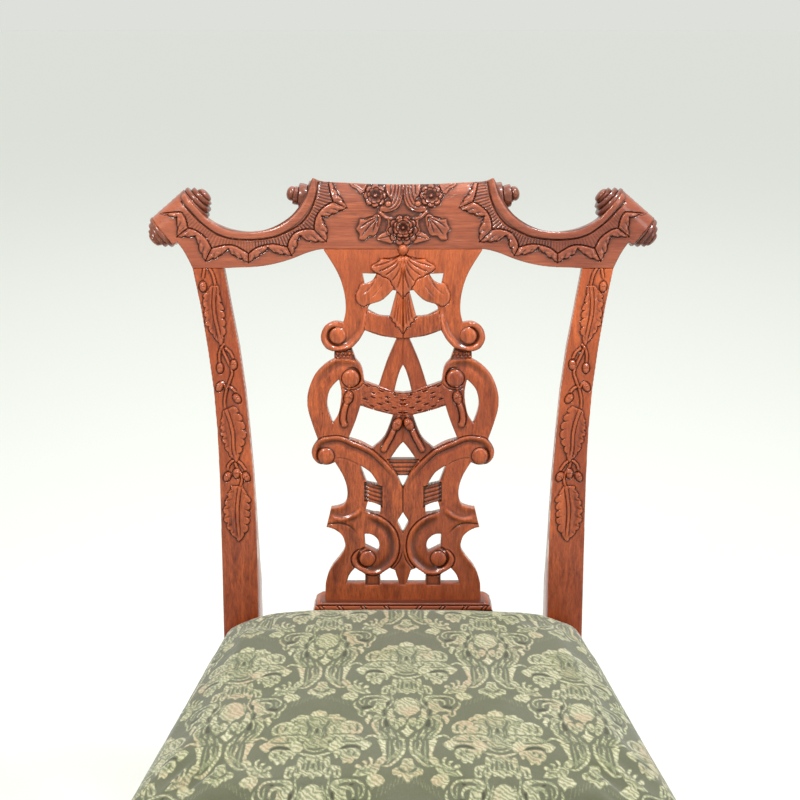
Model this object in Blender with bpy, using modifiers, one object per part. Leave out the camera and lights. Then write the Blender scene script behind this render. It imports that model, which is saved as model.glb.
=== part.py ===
"""Carved side chair with a pierced splat, rolled ears, cabriole front legs and a drop-in seat.

Row frame: metres, +Z up, the sitter faces -Y, the origin lies on the floor under the middle of the
chair's box. The back is drawn flat in its own frame, x across, s up the back and n towards the
sitter, and BACK carries that frame onto the raked back.
"""

import math

import bmesh
import bpy
from mathutils import Matrix, Vector

MM = 0.001
GAP = 0.3 * MM

# Driving dimensions
RAIL_TOP = 0.440
BACK_ZERO = RAIL_TOP + 0.008
BACK_FRONT_Y = 0.1622
SEAT_DEPTH = 0.430
RAKE = math.radians(9)
REAR_HALF_WIDTH = 0.217
FRONT_HALF_WIDTH = 0.276
RAIL_HEIGHT = 0.075
RAIL_THICKNESS = 0.026
POST_TOP = 0.442
SPLAT_THICKNESS = 0.015
CREST_THICKNESS = 0.027
LEG_SQUARE = 0.046

FRONT_Y = BACK_FRONT_Y - SEAT_DEPTH
RAIL_BOTTOM = RAIL_TOP - RAIL_HEIGHT
LEG_BACK_Y = FRONT_Y + LEG_SQUARE
LEG_INNER_X = FRONT_HALF_WIDTH - LEG_SQUARE
POST_INNER_X = 0.1745

# Tenons
TENON_THICKNESS = 0.008
TENON_LOW = RAIL_BOTTOM + 0.012
TENON_HIGH = RAIL_TOP - 0.020
POST_TENON_LENGTH = 0.028
SPLAT_TENON_LENGTH = 0.014

# Drop-in seat
LIP = 0.008
LEDGE_Z = RAIL_TOP - 0.012
COVER_CLOTH = 0.0015
SEAT_FRAME_THICKNESS = 0.016
SEAT_FRAME_WIDTH = 0.048
SEAT_FRAME_Z = LEDGE_Z + COVER_CLOTH + 2 * GAP
WEB_THICKNESS = 0.0016
WEB_WIDTH = 0.048
CROWN_TOP = 66

WOOD = ("carved_wood", (0.42, 0.14, 0.07), 0.35, 0.0)
PALE_WOOD = ("frame_wood", (0.62, 0.45, 0.28), 0.6, 0.0)
JUTE = ("webbing_jute", (0.55, 0.42, 0.25), 0.9, 0.0)
FOAM = ("seat_foam", (0.85, 0.8, 0.62), 0.95, 0.0)
CLOTH = ("seat_fabric", (0.52, 0.54, 0.42), 0.85, 0.0)
CAMBRIC = ("dust_cloth", (0.03, 0.03, 0.03), 0.95, 0.0)
STEEL = ("screw_steel", (0.6, 0.58, 0.5), 0.35, 1.0)

BACK = Matrix(
    (
        (1, 0, 0, 0),
        (0, math.sin(RAKE), -math.cos(RAKE), BACK_FRONT_Y),
        (0, math.cos(RAKE), math.sin(RAKE), BACK_ZERO),
        (0, 0, 0, 1),
    )
)


# ---------------------------------------------------------------- scene and materials


def clear_scene():
    for obj in list(bpy.data.objects):
        bpy.data.objects.remove(obj)


def collection(name):
    made = bpy.data.collections.new(name)
    bpy.context.scene.collection.children.link(made)
    return made


def material(kind):
    name, colour, roughness, metallic = kind
    found = bpy.data.materials.get(name)
    if found:
        return found
    made = bpy.data.materials.new(name)
    made.use_nodes = True
    shader = made.node_tree.nodes["Principled BSDF"]
    shader.inputs["Base Color"].default_value = (*colour, 1)
    shader.inputs["Roughness"].default_value = roughness
    shader.inputs["Metallic"].default_value = metallic
    return made


def add_object(name, bm, kind=None, smooth=40):
    """An object from a bmesh: a part if it has a material, and otherwise a cutter or guide."""
    bmesh.ops.recalc_face_normals(bm, faces=bm.faces[:])
    mesh = bpy.data.meshes.new(name)
    bm.to_mesh(mesh)
    bm.free()
    obj = bpy.data.objects.new(name, mesh)
    if kind:
        CHAIR.objects.link(obj)
        mesh.materials.append(material(kind))
        mesh.shade_smooth()
        mesh.set_sharp_from_angle(angle=math.radians(smooth))
    else:
        CUTTERS.objects.link(obj)
        obj.hide_render = True
        obj.display_type = "WIRE"
    return obj


def boolean(obj, operation, *others):
    for other in others:
        step = obj.modifiers.new(f"{operation.lower()} {other.name}", "BOOLEAN")
        step.operation = operation
        step.object = other


# ---------------------------------------------------------------- outlines and boards


def smooth_outline(points, per_span=2):
    """Points in mm, as (x, y) for a smooth point or (x, y, 1) for a corner, joined by a closed
    Catmull-Rom curve. The result is in metres."""
    count = len(points)
    result = []
    for i in range(count):
        here, there = points[i], points[(i + 1) % count]
        before = points[i - 1] if len(here) == 2 else here
        after = points[(i + 2) % count] if len(there) == 2 else there
        straight = len(here) == 3 and len(there) == 3
        for step in range(1 if straight else per_span):
            t = step / per_span
            weights = (
                -0.5 * t + t * t - 0.5 * t**3,
                1 - 2.5 * t * t + 1.5 * t**3,
                0.5 * t + 2 * t * t - 1.5 * t**3,
                -0.5 * t * t + 0.5 * t**3,
            )
            corners = (before, here, there, after)
            result.append(
                tuple(MM * sum(w * c[axis] for w, c in zip(weights, corners)) for axis in (0, 1))
            )
    return result


def mirrored(half):
    """A closed outline from its half at x >= 0, listed upwards: both ends lie on x = 0 or face it."""
    left = [(-point[0], *point[1:]) for point in reversed(half)]
    if half[0][0] == 0:
        left = left[:-1]
    if half[-1][0] == 0:
        left = left[1:]
    return half + left


def flat_board(name, outlines, low, high, kind=None, frame=Matrix.Identity(4)):
    """A board in the frame's x-y plane, from low to high along its z, with any further outlines
    cut through it."""
    curve = bpy.data.curves.new(name, "CURVE")
    curve.dimensions = "2D"
    curve.fill_mode = "BOTH"
    curve.extrude = (high - low) / 2
    for outline in outlines:
        spline = curve.splines.new("POLY")
        spline.points.add(len(outline) - 1)
        for point, (x, y) in zip(spline.points, outline):
            point.co = (x, y, 0, 1)
        spline.use_cyclic_u = True
    drawn = bpy.data.objects.new(name + " outline", curve)
    CUTTERS.objects.link(drawn)
    bpy.context.view_layer.update()
    graph = bpy.context.evaluated_depsgraph_get()
    mesh = bpy.data.meshes.new_from_object(drawn.evaluated_get(graph))
    bm = bmesh.new()
    bm.from_mesh(mesh)
    bpy.data.objects.remove(drawn)
    bpy.data.meshes.remove(mesh)
    bmesh.ops.remove_doubles(bm, verts=bm.verts[:], dist=0.01 * MM)
    bm.transform(frame @ Matrix.Translation((0, 0, (low + high) / 2)))
    return add_object(name, bm, kind)


def block(name, low, high, kind=None, frame=Matrix.Identity(4)):
    """A box between two corners of the frame."""
    low, high = Vector(low), Vector(high)
    bm = bmesh.new()
    bmesh.ops.create_cube(bm, size=1)
    bmesh.ops.scale(bm, vec=high - low, verts=bm.verts[:])
    bmesh.ops.translate(bm, vec=(low + high) / 2, verts=bm.verts[:])
    bm.transform(frame)
    return add_object(name, bm, kind)


def plan_board(name, corners, low, high, kind=None):
    """A board with straight edges, drawn in plan and standing from low to high."""
    return flat_board(name, [corners], low, high, kind)


def loft(name, sides, stations, place, kind=None, smooth=40):
    """A prism of that many sides, its ring at each station moved to place(k, station)."""
    half = (len(stations) - 1) / 2
    bm = bmesh.new()
    bmesh.ops.create_cone(
        bm, cap_ends=True, segments=sides, radius1=1, radius2=1, depth=2 * half
    )
    for i in range(1, len(stations) - 1):
        everything = bm.verts[:] + bm.edges[:] + bm.faces[:]
        bmesh.ops.bisect_plane(
            bm, geom=everything, plane_co=(0, 0, i - half), plane_no=(0, 0, 1), dist=1e-5
        )
    for vert in bm.verts:
        k = round(math.atan2(vert.co.y, vert.co.x) / (2 * math.pi / sides)) % sides
        vert.co = place(k, stations[round(vert.co.z + half)])
    return add_object(name, bm, kind, smooth)


def turned(name, profile, steps, kind, matrix):
    """A turned piece: (radius, height) down its outer side, spun round the matrix's z axis."""
    mesh = bpy.data.meshes.new(name)
    edges = [(i, i + 1) for i in range(len(profile) - 1)]
    mesh.from_pydata([(radius, 0, height) for radius, height in profile], edges, [])
    obj = bpy.data.objects.new(name, mesh)
    (CHAIR if kind else CUTTERS).objects.link(obj)
    screw = obj.modifiers.new("turn", "SCREW")
    screw.steps = screw.render_steps = steps
    screw.use_merge_vertices = True
    screw.merge_threshold = 0.01 * MM
    screw.use_smooth_shade = False
    obj.matrix_world = matrix
    if kind:
        mesh.materials.append(material(kind))
    else:
        obj.hide_render = True
        obj.display_type = "WIRE"
    return obj


def along(origin, direction):
    """A matrix at origin whose z axis points along direction."""
    return Matrix.Translation(origin) @ Vector(direction).to_track_quat("Z", "Y").to_matrix().to_4x4()


def interpolate(table, value):
    """A smooth reading from rows of (value, result...), eased between each two rows."""
    rows = list(table)
    if value <= rows[0][0]:
        return rows[0][1:]
    for low, high in zip(rows, rows[1:]):
        if value <= high[0]:
            t = (value - low[0]) / (high[0] - low[0])
            return tuple(a + (b - a) * t for a, b in zip(low[1:], high[1:]))
    return rows[-1][1:]


# ---------------------------------------------------------------- the back

# Half outlines in mm, (x, s), listed upwards from the middle line outwards where they start on it.
CREST_OUTLINE = [
    (92, 464.3, 1),
    (100, 463),
    (112, 459.5),
    (130, 452.5),
    (150, 447),
    (170, 444),
    (190, 443.2),
    (208, 442.3, 1),
    (243, 442.3, 1),
    (247, 451),
    (254, 464),
    (264, 477),
    (277, 490, 1),
    (262, 512, 1),
    (243, 516, 1),
    (226, 499, 1),
    (218, 494),
    (205, 488.5),
    (190, 485),
    (176, 484),
    (160, 486),
    (145, 491.5),
    (130, 501),
    (119, 513),
    (111, 527),
    (105.5, 541),
    (103, 545, 1),
    (93, 541.5),
    (70, 540),
    (35, 538.3),
    (0, 538, 1),
]

SPLAT_OUTLINE = [
    (93.5, 12, 1),
    (93.5, 56),
    (91.5, 71),
    (86, 84),
    (76, 97),
    (70, 107),
    (69.5, 115),
    (73, 124.5),
    (82, 131.5),
    (91.5, 134.5, 1),
    (88.5, 146),
    (86, 157, 1),
    (78, 158.5),
    (70, 162),
    (66.5, 171),
    (66.8, 184),
    (71.5, 198),
    (80.5, 213.5, 1),
    (90, 210.3),
    (100, 212),
    (107, 219.5),
    (107.5, 230),
    (100.5, 241, 1),
    (107, 260),
    (112, 279),
    (111.5, 297),
    (104, 317),
    (92, 330),
    (80.5, 337, 1),
    (80.3, 345.5, 1),
    (90, 349.5),
    (95.8, 361),
    (92, 374),
    (81, 380.5),
    (69.5, 379.5, 1),
    (66.5, 395),
    (68.5, 416),
    (76, 438),
    (92, 463.7, 1),
]

# Openings across the middle line, as half outlines, and openings on one side, as whole ones.
SPLAT_MIDDLE_OPENINGS = [
    [(0, 126.5, 1), (3.5, 134), (6.5, 141), (3.5, 147), (0, 152.5, 1)],
    [(0, 182, 1), (6.8, 196.8, 1)],
    [(15.5, 217, 1), (6, 231), (0, 238, 1)],
    [(0, 296.5, 1), (10.2, 297.8, 1), (7.5, 310), (3.5, 323), (0, 330, 1)],
]
SPLAT_SIDE_OPENINGS = [
    [(68, 64.5, 1), (64.5, 75), (58, 83.5, 1), (51, 79), (45.5, 75.5, 1), (45.5, 64.5, 1)],
    [(27, 64.5, 1), (27.5, 75.5, 1), (22, 80), (16, 83.5, 1), (9.5, 81, 1), (4.5, 64.5, 1)],
    [(46, 126, 1), (37, 125), (29.5, 118), (28.5, 108), (31, 103.5, 1), (45, 110.5, 1)],
    [(51, 210, 1), (38, 200.5), (28.5, 185.3, 1), (43, 188.3, 1), (47, 199)],
    [(42, 165, 1), (34, 163.3), (26.8, 160, 1), (27, 150.3, 1), (36, 151.3), (45, 153.8, 1)],
    [
        (50, 281.5, 1),
        (56, 263),
        (64.5, 242, 1),
        (50, 237.3),
        (36.5, 230, 1),
        (22, 244),
        (11.5, 270.5, 1),
        (30, 275),
    ],
    [(75, 313, 1), (86, 300), (89.3, 281), (83, 260, 1), (76, 272), (72.3, 295)],
    [
        (44.5, 370.3, 1),
        (26, 364),
        (7.5, 361, 1),
        (19, 334),
        (28.7, 304, 1),
        (45.5, 310, 1),
        (48.5, 327),
        (55.5, 336.5, 1),
        (60, 349.5, 1),
        (51, 359),
    ],
    [
        (41, 394.5, 1),
        (38, 400.5),
        (24, 405.5),
        (12, 417.3, 1),
        (7.5, 416.5, 1),
        (15.5, 387, 1),
        (28, 388),
    ],
    [(47, 436.5, 1), (44.5, 424, 1), (36, 428), (30.5, 436, 1)],
]

# Edges of a post in mm: s, inner x, outer x, depth from front to back, rounding of the back
POST_SHAPE = [
    (-448, 180, 213, 36, 0.06),
    (-300, 176.5, 216, 41, 0.06),
    (-95, 174.5, 217, 46, 0.06),
    (0, 174.5, 217, 46, 0.06),
    (60, 174.5, 217, 42, 0.06),
    (95, 174.8, 217, 38, 0.5),
    (150, 175.8, 217.3, 35, 0.9),
    (200, 178, 217.6, 33, 0.9),
    (250, 181.3, 218.8, 31, 0.9),
    (300, 185.4, 222, 30, 0.9),
    (350, 191.5, 227.8, 29, 0.9),
    (400, 200, 235, 28, 0.9),
    (442, 207, 243, 27, 0.9),
]
POST_STATIONS = [-448, -400, -350, -300, -250, -200, -150, -115, -90, -40, -20, 0, 40, 70, 95]
POST_STATIONS += [120, 160, 200, 240, 280, 320, 360, 400, 442]
POST_CURVE_START = -100
REAR_FOOT_SWEEP = 0.082
RAKE_BLEND = 40


def post_path(s):
    """The front edge of a post, as (y, z, lean), for s in mm: curved leg below, raked back above."""
    if s >= 0:
        return BACK_FRONT_Y + s * MM * math.sin(RAKE), BACK_ZERO + s * MM * math.cos(RAKE), RAKE
    lean = RAKE * max(0.0, 1 + s / RAKE_BLEND)
    t = max(0.0, (POST_CURVE_START - s) / (1000 * BACK_ZERO + POST_CURVE_START))
    return BACK_FRONT_Y + REAR_FOOT_SWEEP * t**1.9, BACK_ZERO + s * MM, lean


def post_section(rounding):
    """Twelve points round a post, across from -1 to 1 and back from 0 to 1."""
    ease = 0.05
    points = [(-1 + ease, 0), (1 - ease, 0)]
    quarter = [math.radians(a) for a in (0, 30, 60, 90)]
    depth = 0.55 * rounding
    points += [(1, ease)]
    points += [(1 - rounding * (1 - math.cos(a)), 1 - depth * (1 - math.sin(a))) for a in quarter]
    points += [
        (-1 + rounding * (1 - math.cos(a)), 1 - depth * (1 - math.sin(a)))
        for a in reversed(quarter)
    ]
    return points + [(-1, ease)]


def make_post(side):
    name = "left" if side < 0 else "right"

    def place(k, s):
        inner, outer, depth, rounding = interpolate(POST_SHAPE, s)
        across, back = post_section(rounding)[k]
        y, z, lean = post_path(s)
        back *= depth * MM
        x = MM * ((inner + outer) / 2 + across * (outer - inner) / 2)
        return Vector((side * x, y + back * math.cos(lean), z - back * math.sin(lean)))

    post = loft(f"back_post_{name}", 12, POST_STATIONS, place, WOOD)
    tenon = block(
        f"post tenon {name}",
        (side * 0.2245 - 0.010, POST_TOP - 0.010, -0.020),
        (side * 0.2245 + 0.010, POST_TOP + POST_TENON_LENGTH, -0.009),
        frame=BACK,
    )
    boolean(post, "UNION", tenon)
    boolean(post, "DIFFERENCE", rear_tenon(side, GAP), side_tenon(side, GAP))
    return post


def make_splat():
    openings = [smooth_outline(mirrored(half)) for half in SPLAT_MIDDLE_OPENINGS]
    for opening in SPLAT_SIDE_OPENINGS:
        for side in (-1, 1):
            openings.append(smooth_outline([(side * p[0], *p[1:]) for p in opening]))
    outline = smooth_outline(mirrored(SPLAT_OUTLINE))
    splat = flat_board("back_splat", [outline, *openings], -SPLAT_THICKNESS, 0, WOOD, BACK)
    boolean(splat, "UNION", splat_tenon(0))
    return splat


def splat_tenon(room):
    """The tenon on top of the splat, thinner than the splat, or with room the mortise for it."""
    return block(
        f"splat tenon {room}",
        (-0.078 - room, 0.455, -0.0130 - room),
        (0.078 + room, 0.4637 + SPLAT_TENON_LENGTH + room, -0.0040 + room),
        frame=BACK,
    )


# The rolls that the crest curls into: middle of each end (x, s), radius, all in mm, n of the axis.
MIDDLE_ROLL = {"end_x": 101, "s": 520, "radius": 16, "n": -24}
EAR_ROLL = {"inner": (240.5, 516), "outer": (277.5, 484.5), "radius": 20.5, "n": -18.5}


def back_point(x, s, n):
    """A point of the back frame, in mm, in the row frame."""
    return BACK @ Vector((x * MM, s * MM, n * MM))


def roll(name, start, end, radius):
    """A crest roll from one point of the back frame to another."""
    start, end = back_point(*start), back_point(*end)
    bm = bmesh.new()
    bmesh.ops.create_cone(
        bm,
        cap_ends=True,
        segments=20,
        radius1=radius * MM,
        radius2=radius * MM,
        depth=(end - start).length,
    )
    bm.transform(along((start + end) / 2, end - start))
    return add_object(name, bm)


def volute(name, at, towards, radius, height, kind=WOOD):
    """A stepped boss turned like a rolled scroll's end, with a round tenon on its back."""
    start = back_point(*at)
    axis = (back_point(*towards) - start).normalized()
    steps = [(1.0, 0.0, 0.24), (0.82, 0.24, 0.47), (0.62, 0.47, 0.70), (0.40, 0.70, 0.92)]
    profile = [(0, height), (0.26 * radius, 0.97 * height)]
    for share, low, high in reversed(steps):
        profile += [(share * radius, high * height), (share * radius, low * height)]
    profile += [(VOLUTE_TENON_RADIUS, 0), (VOLUTE_TENON_RADIUS, -VOLUTE_TENON), (0, -VOLUTE_TENON)]
    profile[-4] = (radius, GAP / MM)
    profile[-3] = (VOLUTE_TENON_RADIUS, GAP / MM)
    shape = [(r * MM, h * MM) for r, h in profile]
    return turned(name, shape, 14, kind, along(start, axis))


VOLUTE_TENON_RADIUS = 4.5
VOLUTE_TENON = 10
MIDDLE_VOLUTE_HEIGHT = 27
EAR_VOLUTE_HEIGHT = 19


def volute_places():
    """Each boss: its name, where it stands, a point further along its axis, radius and height."""
    roll_n, ear_n = MIDDLE_ROLL["n"], EAR_ROLL["n"]
    places = []
    for side, name in ((-1, "left"), (1, "right")):
        end = side * MIDDLE_ROLL["end_x"]
        stands = (end, MIDDLE_ROLL["s"], roll_n)
        further = (2 * end, MIDDLE_ROLL["s"] + 12, roll_n)
        radius = MIDDLE_ROLL["radius"]
        places.append((f"shoulder_volute_{name}", stands, further, radius, MIDDLE_VOLUTE_HEIGHT))
        inner = (side * EAR_ROLL["inner"][0], EAR_ROLL["inner"][1], ear_n)
        outer = (side * EAR_ROLL["outer"][0], EAR_ROLL["outer"][1], ear_n)
        beyond_inner = [2 * a - b for a, b in zip(inner, outer)]
        beyond_outer = [2 * a - b for a, b in zip(outer, inner)]
        radius = EAR_ROLL["radius"]
        places.append((f"ear_volute_{name}_upper", inner, beyond_inner, radius, EAR_VOLUTE_HEIGHT))
        places.append((f"ear_volute_{name}_lower", outer, beyond_outer, radius, EAR_VOLUTE_HEIGHT))
    return places


def make_crest():
    outline = smooth_outline(mirrored(CREST_OUTLINE))
    crest = flat_board("crest_rail", [outline], -CREST_THICKNESS, 0, WOOD, BACK)
    end_x, roll_s, roll_n = MIDDLE_ROLL["end_x"], MIDDLE_ROLL["s"], MIDDLE_ROLL["n"]
    middle = ((-end_x, roll_s, roll_n), (end_x, roll_s, roll_n))
    boolean(crest, "UNION", roll("middle roll", *middle, MIDDLE_ROLL["radius"]))
    for side, name in ((-1, "left"), (1, "right")):
        inner = (side * EAR_ROLL["inner"][0], EAR_ROLL["inner"][1], EAR_ROLL["n"])
        outer = (side * EAR_ROLL["outer"][0], EAR_ROLL["outer"][1], EAR_ROLL["n"])
        boolean(crest, "UNION", roll(f"ear roll {name}", outer, inner, EAR_ROLL["radius"]))
    for side, name in ((-1, "left"), (1, "right")):
        mortise = block(
            f"post mortise {name}",
            (side * 0.2245 - 0.010 - GAP, POST_TOP - 0.005, -0.020 - GAP),
            (side * 0.2245 + 0.010 + GAP, POST_TOP + POST_TENON_LENGTH + GAP, -0.009 + GAP),
            frame=BACK,
        )
        boolean(crest, "DIFFERENCE", mortise)
    boolean(crest, "DIFFERENCE", splat_tenon(GAP))
    for name, at, towards, radius, height in volute_places():
        volute(name, at, towards, radius, height)
        start = back_point(*at)
        axis = back_point(*towards) - start
        hole = VOLUTE_TENON + 1
        profile = [(0, 2), (VOLUTE_TENON_RADIUS, 2), (VOLUTE_TENON_RADIUS, -hole), (0, -hole)]
        shape = [((r + (GAP / MM if r else 0)) * MM, h * MM) for r, h in profile]
        if name.startswith("shoulder"):
            room = (radius + 2 * GAP / MM) * MM
            pocket = [(0, 0.04), (room, 0.04), (room, 0), (0, 0)]
            cutter = turned(f"{name} pocket", pocket, 20, None, along(start, axis))
            boolean(crest, "DIFFERENCE", cutter)
        boolean(crest, "DIFFERENCE", turned(f"{name} hole", shape, 14, None, along(start, axis)))
    return crest


# ---------------------------------------------------------------- the shoe and the seat rails

SHOE_HALF_TOP, SHOE_HALF_BASE = 101, 108
# (y from the front of the posts, z from the back frame's zero) in mm, round the shoe's end profile
SHOE_PROFILE = [
    (-3, -7.7),
    (-3, 33.5),
    (-1.5, 34.5),
    (-1.5, 40),
    (0.3, 41.5),
    (2, 44.5),
    (2.8, 47),
    (1.6, 48),
    (1.6, 52),
    (29, 52),
    (25, -7.7),
]


def make_shoe():
    """The shoe: a moulding on the rear rail that holds the foot of the splat in a slot."""
    outline = [(y * MM, z * MM) for y, z in SHOE_PROFILE]
    upright = Matrix(
        ((0, 0, 1, 0), (1, 0, 0, BACK_FRONT_Y), (0, 1, 0, BACK_ZERO), (0, 0, 0, 1))
    )
    half = SHOE_HALF_BASE * MM
    shoe = flat_board("splat_shoe", [outline], -half, half, WOOD, upright)
    for vert in shoe.data.vertices:
        share = min(1.0, max(0.0, (vert.co.z - BACK_ZERO - 35 * MM) / (12 * MM)))
        vert.co.x *= 1 + (SHOE_HALF_TOP / SHOE_HALF_BASE - 1) * share
    slot = block(
        "shoe slot",
        (-0.0935 - GAP, 0.012 - GAP, -SPLAT_THICKNESS - GAP),
        (0.0935 + GAP, 0.080, GAP),
        frame=BACK,
    )
    boolean(shoe, "DIFFERENCE", slot)
    return shoe


def bar(name, start, end, width, low, high):
    """A square-ended bar between two points in plan, as a tenon or the mortise round it."""
    start, end = Vector((*start, low)), Vector((*end, low))
    run = end - start
    frame = Matrix.Translation(start) @ Matrix.Rotation(math.atan2(run.y, run.x), 4, "Z")
    return block(name, (0, -width / 2, 0), (run.length, width / 2, high - low), frame=frame)


SIDE_RAIL_REAR_X = REAR_HALF_WIDTH - 0.0005 - RAIL_THICKNESS / 2
SIDE_RAIL_FRONT_X = FRONT_HALF_WIDTH - 0.002 - RAIL_THICKNESS / 2
REAR_TENON_Y = BACK_FRONT_Y + 0.010
FRONT_RAIL_Y = FRONT_Y + 0.002


def side_rail_line(side, y):
    """The middle of a side rail, in plan, at that y."""
    t = (BACK_FRONT_Y - y) / (BACK_FRONT_Y - LEG_BACK_Y)
    return (side * (SIDE_RAIL_REAR_X + (SIDE_RAIL_FRONT_X - SIDE_RAIL_REAR_X) * t), y)


def rear_tenon(side, room):
    """The rear rail's tenon on one side, or with room the mortise that it fits."""
    start, end = side * (POST_INNER_X - 0.010), side * (POST_INNER_X + 0.018 + room)
    return bar(
        f"rear tenon {side} {room}",
        (start, REAR_TENON_Y),
        (end, REAR_TENON_Y),
        TENON_THICKNESS + 2 * room,
        TENON_LOW - room,
        TENON_HIGH + room,
    )


def side_tenon(side, room, at_leg=False):
    """A side rail's tenon in the post, or at the leg, or with room the mortise that it fits."""
    joint_y = LEG_BACK_Y if at_leg else BACK_FRONT_Y
    inward = -1 if at_leg else 1
    start = side_rail_line(side, joint_y - inward * 0.010)
    end = side_rail_line(side, joint_y + inward * (0.020 + room))
    return bar(
        f"side tenon {side} {room} {at_leg}",
        start,
        end,
        TENON_THICKNESS + 2 * room,
        TENON_LOW - room,
        TENON_HIGH + room,
    )


def front_tenon(side, room):
    y = FRONT_RAIL_Y + RAIL_THICKNESS / 2
    return bar(
        f"front tenon {side} {room}",
        (side * (LEG_INNER_X - 0.010), y),
        (side * (LEG_INNER_X + 0.018 + room), y),
        TENON_THICKNESS + 2 * room,
        TENON_LOW - room,
        TENON_HIGH + room,
    )


def seat_opening(inset, y_front, y_rear):
    """The seat's plan between the lips, moved in by inset: four corners from the front left."""
    front = side_rail_line(1, y_front)[0] + RAIL_THICKNESS / 2 - LIP - inset
    rear = side_rail_line(1, y_rear)[0] + RAIL_THICKNESS / 2 - LIP - inset
    return [(-front, y_front), (front, y_front), (rear, y_rear), (-rear, y_rear)]


SEAT_FRONT_Y = FRONT_RAIL_Y + LIP
SEAT_REAR_Y = BACK_FRONT_Y - 0.005


def rebate():
    """The recess round the inside of the rails and leg tops that the drop-in seat sits in."""
    corners = seat_opening(0, SEAT_FRONT_Y, SEAT_REAR_Y)
    return plan_board("seat rebate", corners, LEDGE_Z, RAIL_TOP + 0.05)


def make_rails():
    rebate_cutter = rebate()
    front_upright = Matrix(
        ((1, 0, 0, 0), (0, 0, -1, FRONT_RAIL_Y), (0, 1, 0, RAIL_BOTTOM), (0, 0, 0, 1))
    )
    half = 1000 * (LEG_INNER_X - GAP)
    height = 1000 * RAIL_HEIGHT
    apron = [(0, -14), (30, -12), (62, -1), (88, 2), (112, 0, 1)]
    front_outline = mirrored(apron + [(half, 0, 1), (half, height, 1)])
    front = flat_board(
        "seat_rail_front",
        [smooth_outline(front_outline, 3)],
        -RAIL_THICKNESS,
        0,
        WOOD,
        front_upright,
    )
    boolean(front, "UNION", front_tenon(-1, 0), front_tenon(1, 0))
    boolean(front, "DIFFERENCE", rebate_cutter)

    rear = block(
        "seat_rail_rear",
        (-(POST_INNER_X - GAP), BACK_FRONT_Y - 0.016, RAIL_BOTTOM),
        (POST_INNER_X - GAP, BACK_FRONT_Y + 0.024, RAIL_TOP),
        WOOD,
    )
    boolean(rear, "UNION", rear_tenon(-1, 0), rear_tenon(1, 0))
    boolean(rear, "DIFFERENCE", rebate_cutter)

    for side, name in ((-1, "left"), (1, "right")):
        corners = []
        for y, across in (
            (LEG_BACK_Y + GAP, 1),
            (BACK_FRONT_Y - GAP, 1),
            (BACK_FRONT_Y - GAP, -1),
            (LEG_BACK_Y + GAP, -1),
        ):
            x, _ = side_rail_line(side, y)
            corners.append((x + across * RAIL_THICKNESS / 2, y))
        rail = plan_board(f"seat_rail_{name}", corners, RAIL_BOTTOM, RAIL_TOP, WOOD)
        boolean(rail, "UNION", side_tenon(side, 0), side_tenon(side, 0, at_leg=True))
        boolean(rail, "DIFFERENCE", rebate_cutter)
    return rebate_cutter


# ---------------------------------------------------------------- the front legs

# Height, outward lean of the middle along the diagonal, half width and roundness, in mm
LEG_SHAPE = [
    (440, 0, 23, 0.0),
    (365, 0, 23, 0.0),
    (352, 3.0, 25, 0.12),
    (335, 8, 27.5, 0.3),
    (310, 9, 27, 0.45),
    (275, 5.5, 22.5, 0.6),
    (235, 1, 18.5, 0.7),
    (190, -2.5, 15.8, 0.8),
    (145, -3.5, 14, 0.9),
    (105, -1, 13, 1.0),
    (80, 3.5, 13.4, 1.0),
    (62, 9, 15.5, 1.0),
    (45, 13, 17, 1.0),
    (30, 14, 15, 1.0),
]
FOOT_OUT = 14 * MM
BALL_RADIUS = 0.029
BALL_HEIGHT = 0.048
DIAGONAL = Vector((math.sqrt(0.5), -math.sqrt(0.5), 0))
ANKLE_OUT = 0.5 * MM
# A claw from inside the ankle down over the ball: share of the way from the ankle's axis to the
# ball's, distance out from there, height and radius, in mm
CLAW = [
    (0.0, 3.5, 96, 6),
    (0.4, 13, 78, 7),
    (0.85, 22.5, 60, 7.3),
    (1.0, 29.5, 42, 6.5),
    (1.0, 31.5, 27, 6),
    (1.0, 29, 13.5, 5),
    (1.0, 24.5, 5.5, 3),
]


def leg_middle(side):
    return Vector((side * (FRONT_HALF_WIDTH - LEG_SQUARE / 2), FRONT_Y + LEG_SQUARE / 2, 0))


def out_of(side):
    """The way a front knee and foot point, in plan."""
    return Vector((side * DIAGONAL.x, DIAGONAL.y, 0))


def make_leg(side):
    name = "left" if side < 0 else "right"
    sides = 16

    def place(k, row):
        height, lean, half, roundness = row
        angle = 2 * math.pi * k / sides
        across, deep = math.cos(angle), math.sin(angle)
        square = 1 / max(abs(across), abs(deep))
        reach = half * (square + (1 - square) * roundness)
        middle = leg_middle(side) + out_of(side) * lean * MM
        return middle + Vector((across * reach, deep * reach, height)) * MM

    leg = loft(f"front_leg_{name}", sides, list(reversed(LEG_SHAPE)), place, WOOD, 50)
    foot = leg_middle(side) + out_of(side) * FOOT_OUT
    bm = bmesh.new()
    bmesh.ops.create_uvsphere(bm, u_segments=18, v_segments=11, radius=BALL_RADIUS)
    bmesh.ops.scale(bm, vec=(1, 1, 0.95), verts=bm.verts[:])
    bmesh.ops.translate(bm, vec=foot + Vector((0, 0, BALL_HEIGHT / 2)), verts=bm.verts[:])
    boolean(leg, "UNION", add_object(f"ball {name}", bm))
    for turn in range(4):
        boolean(leg, "UNION", make_claw(side, foot, turn))
    low = foot - Vector((0.1, 0.1, 0.1))
    floor = block(f"foot level {name}", low, foot + Vector((0.1, 0.1, 0)))
    mortises = (front_tenon(side, GAP), side_tenon(side, GAP, at_leg=True))
    boolean(leg, "DIFFERENCE", floor, *mortises, bpy.data.objects["seat rebate"])
    return leg


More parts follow.
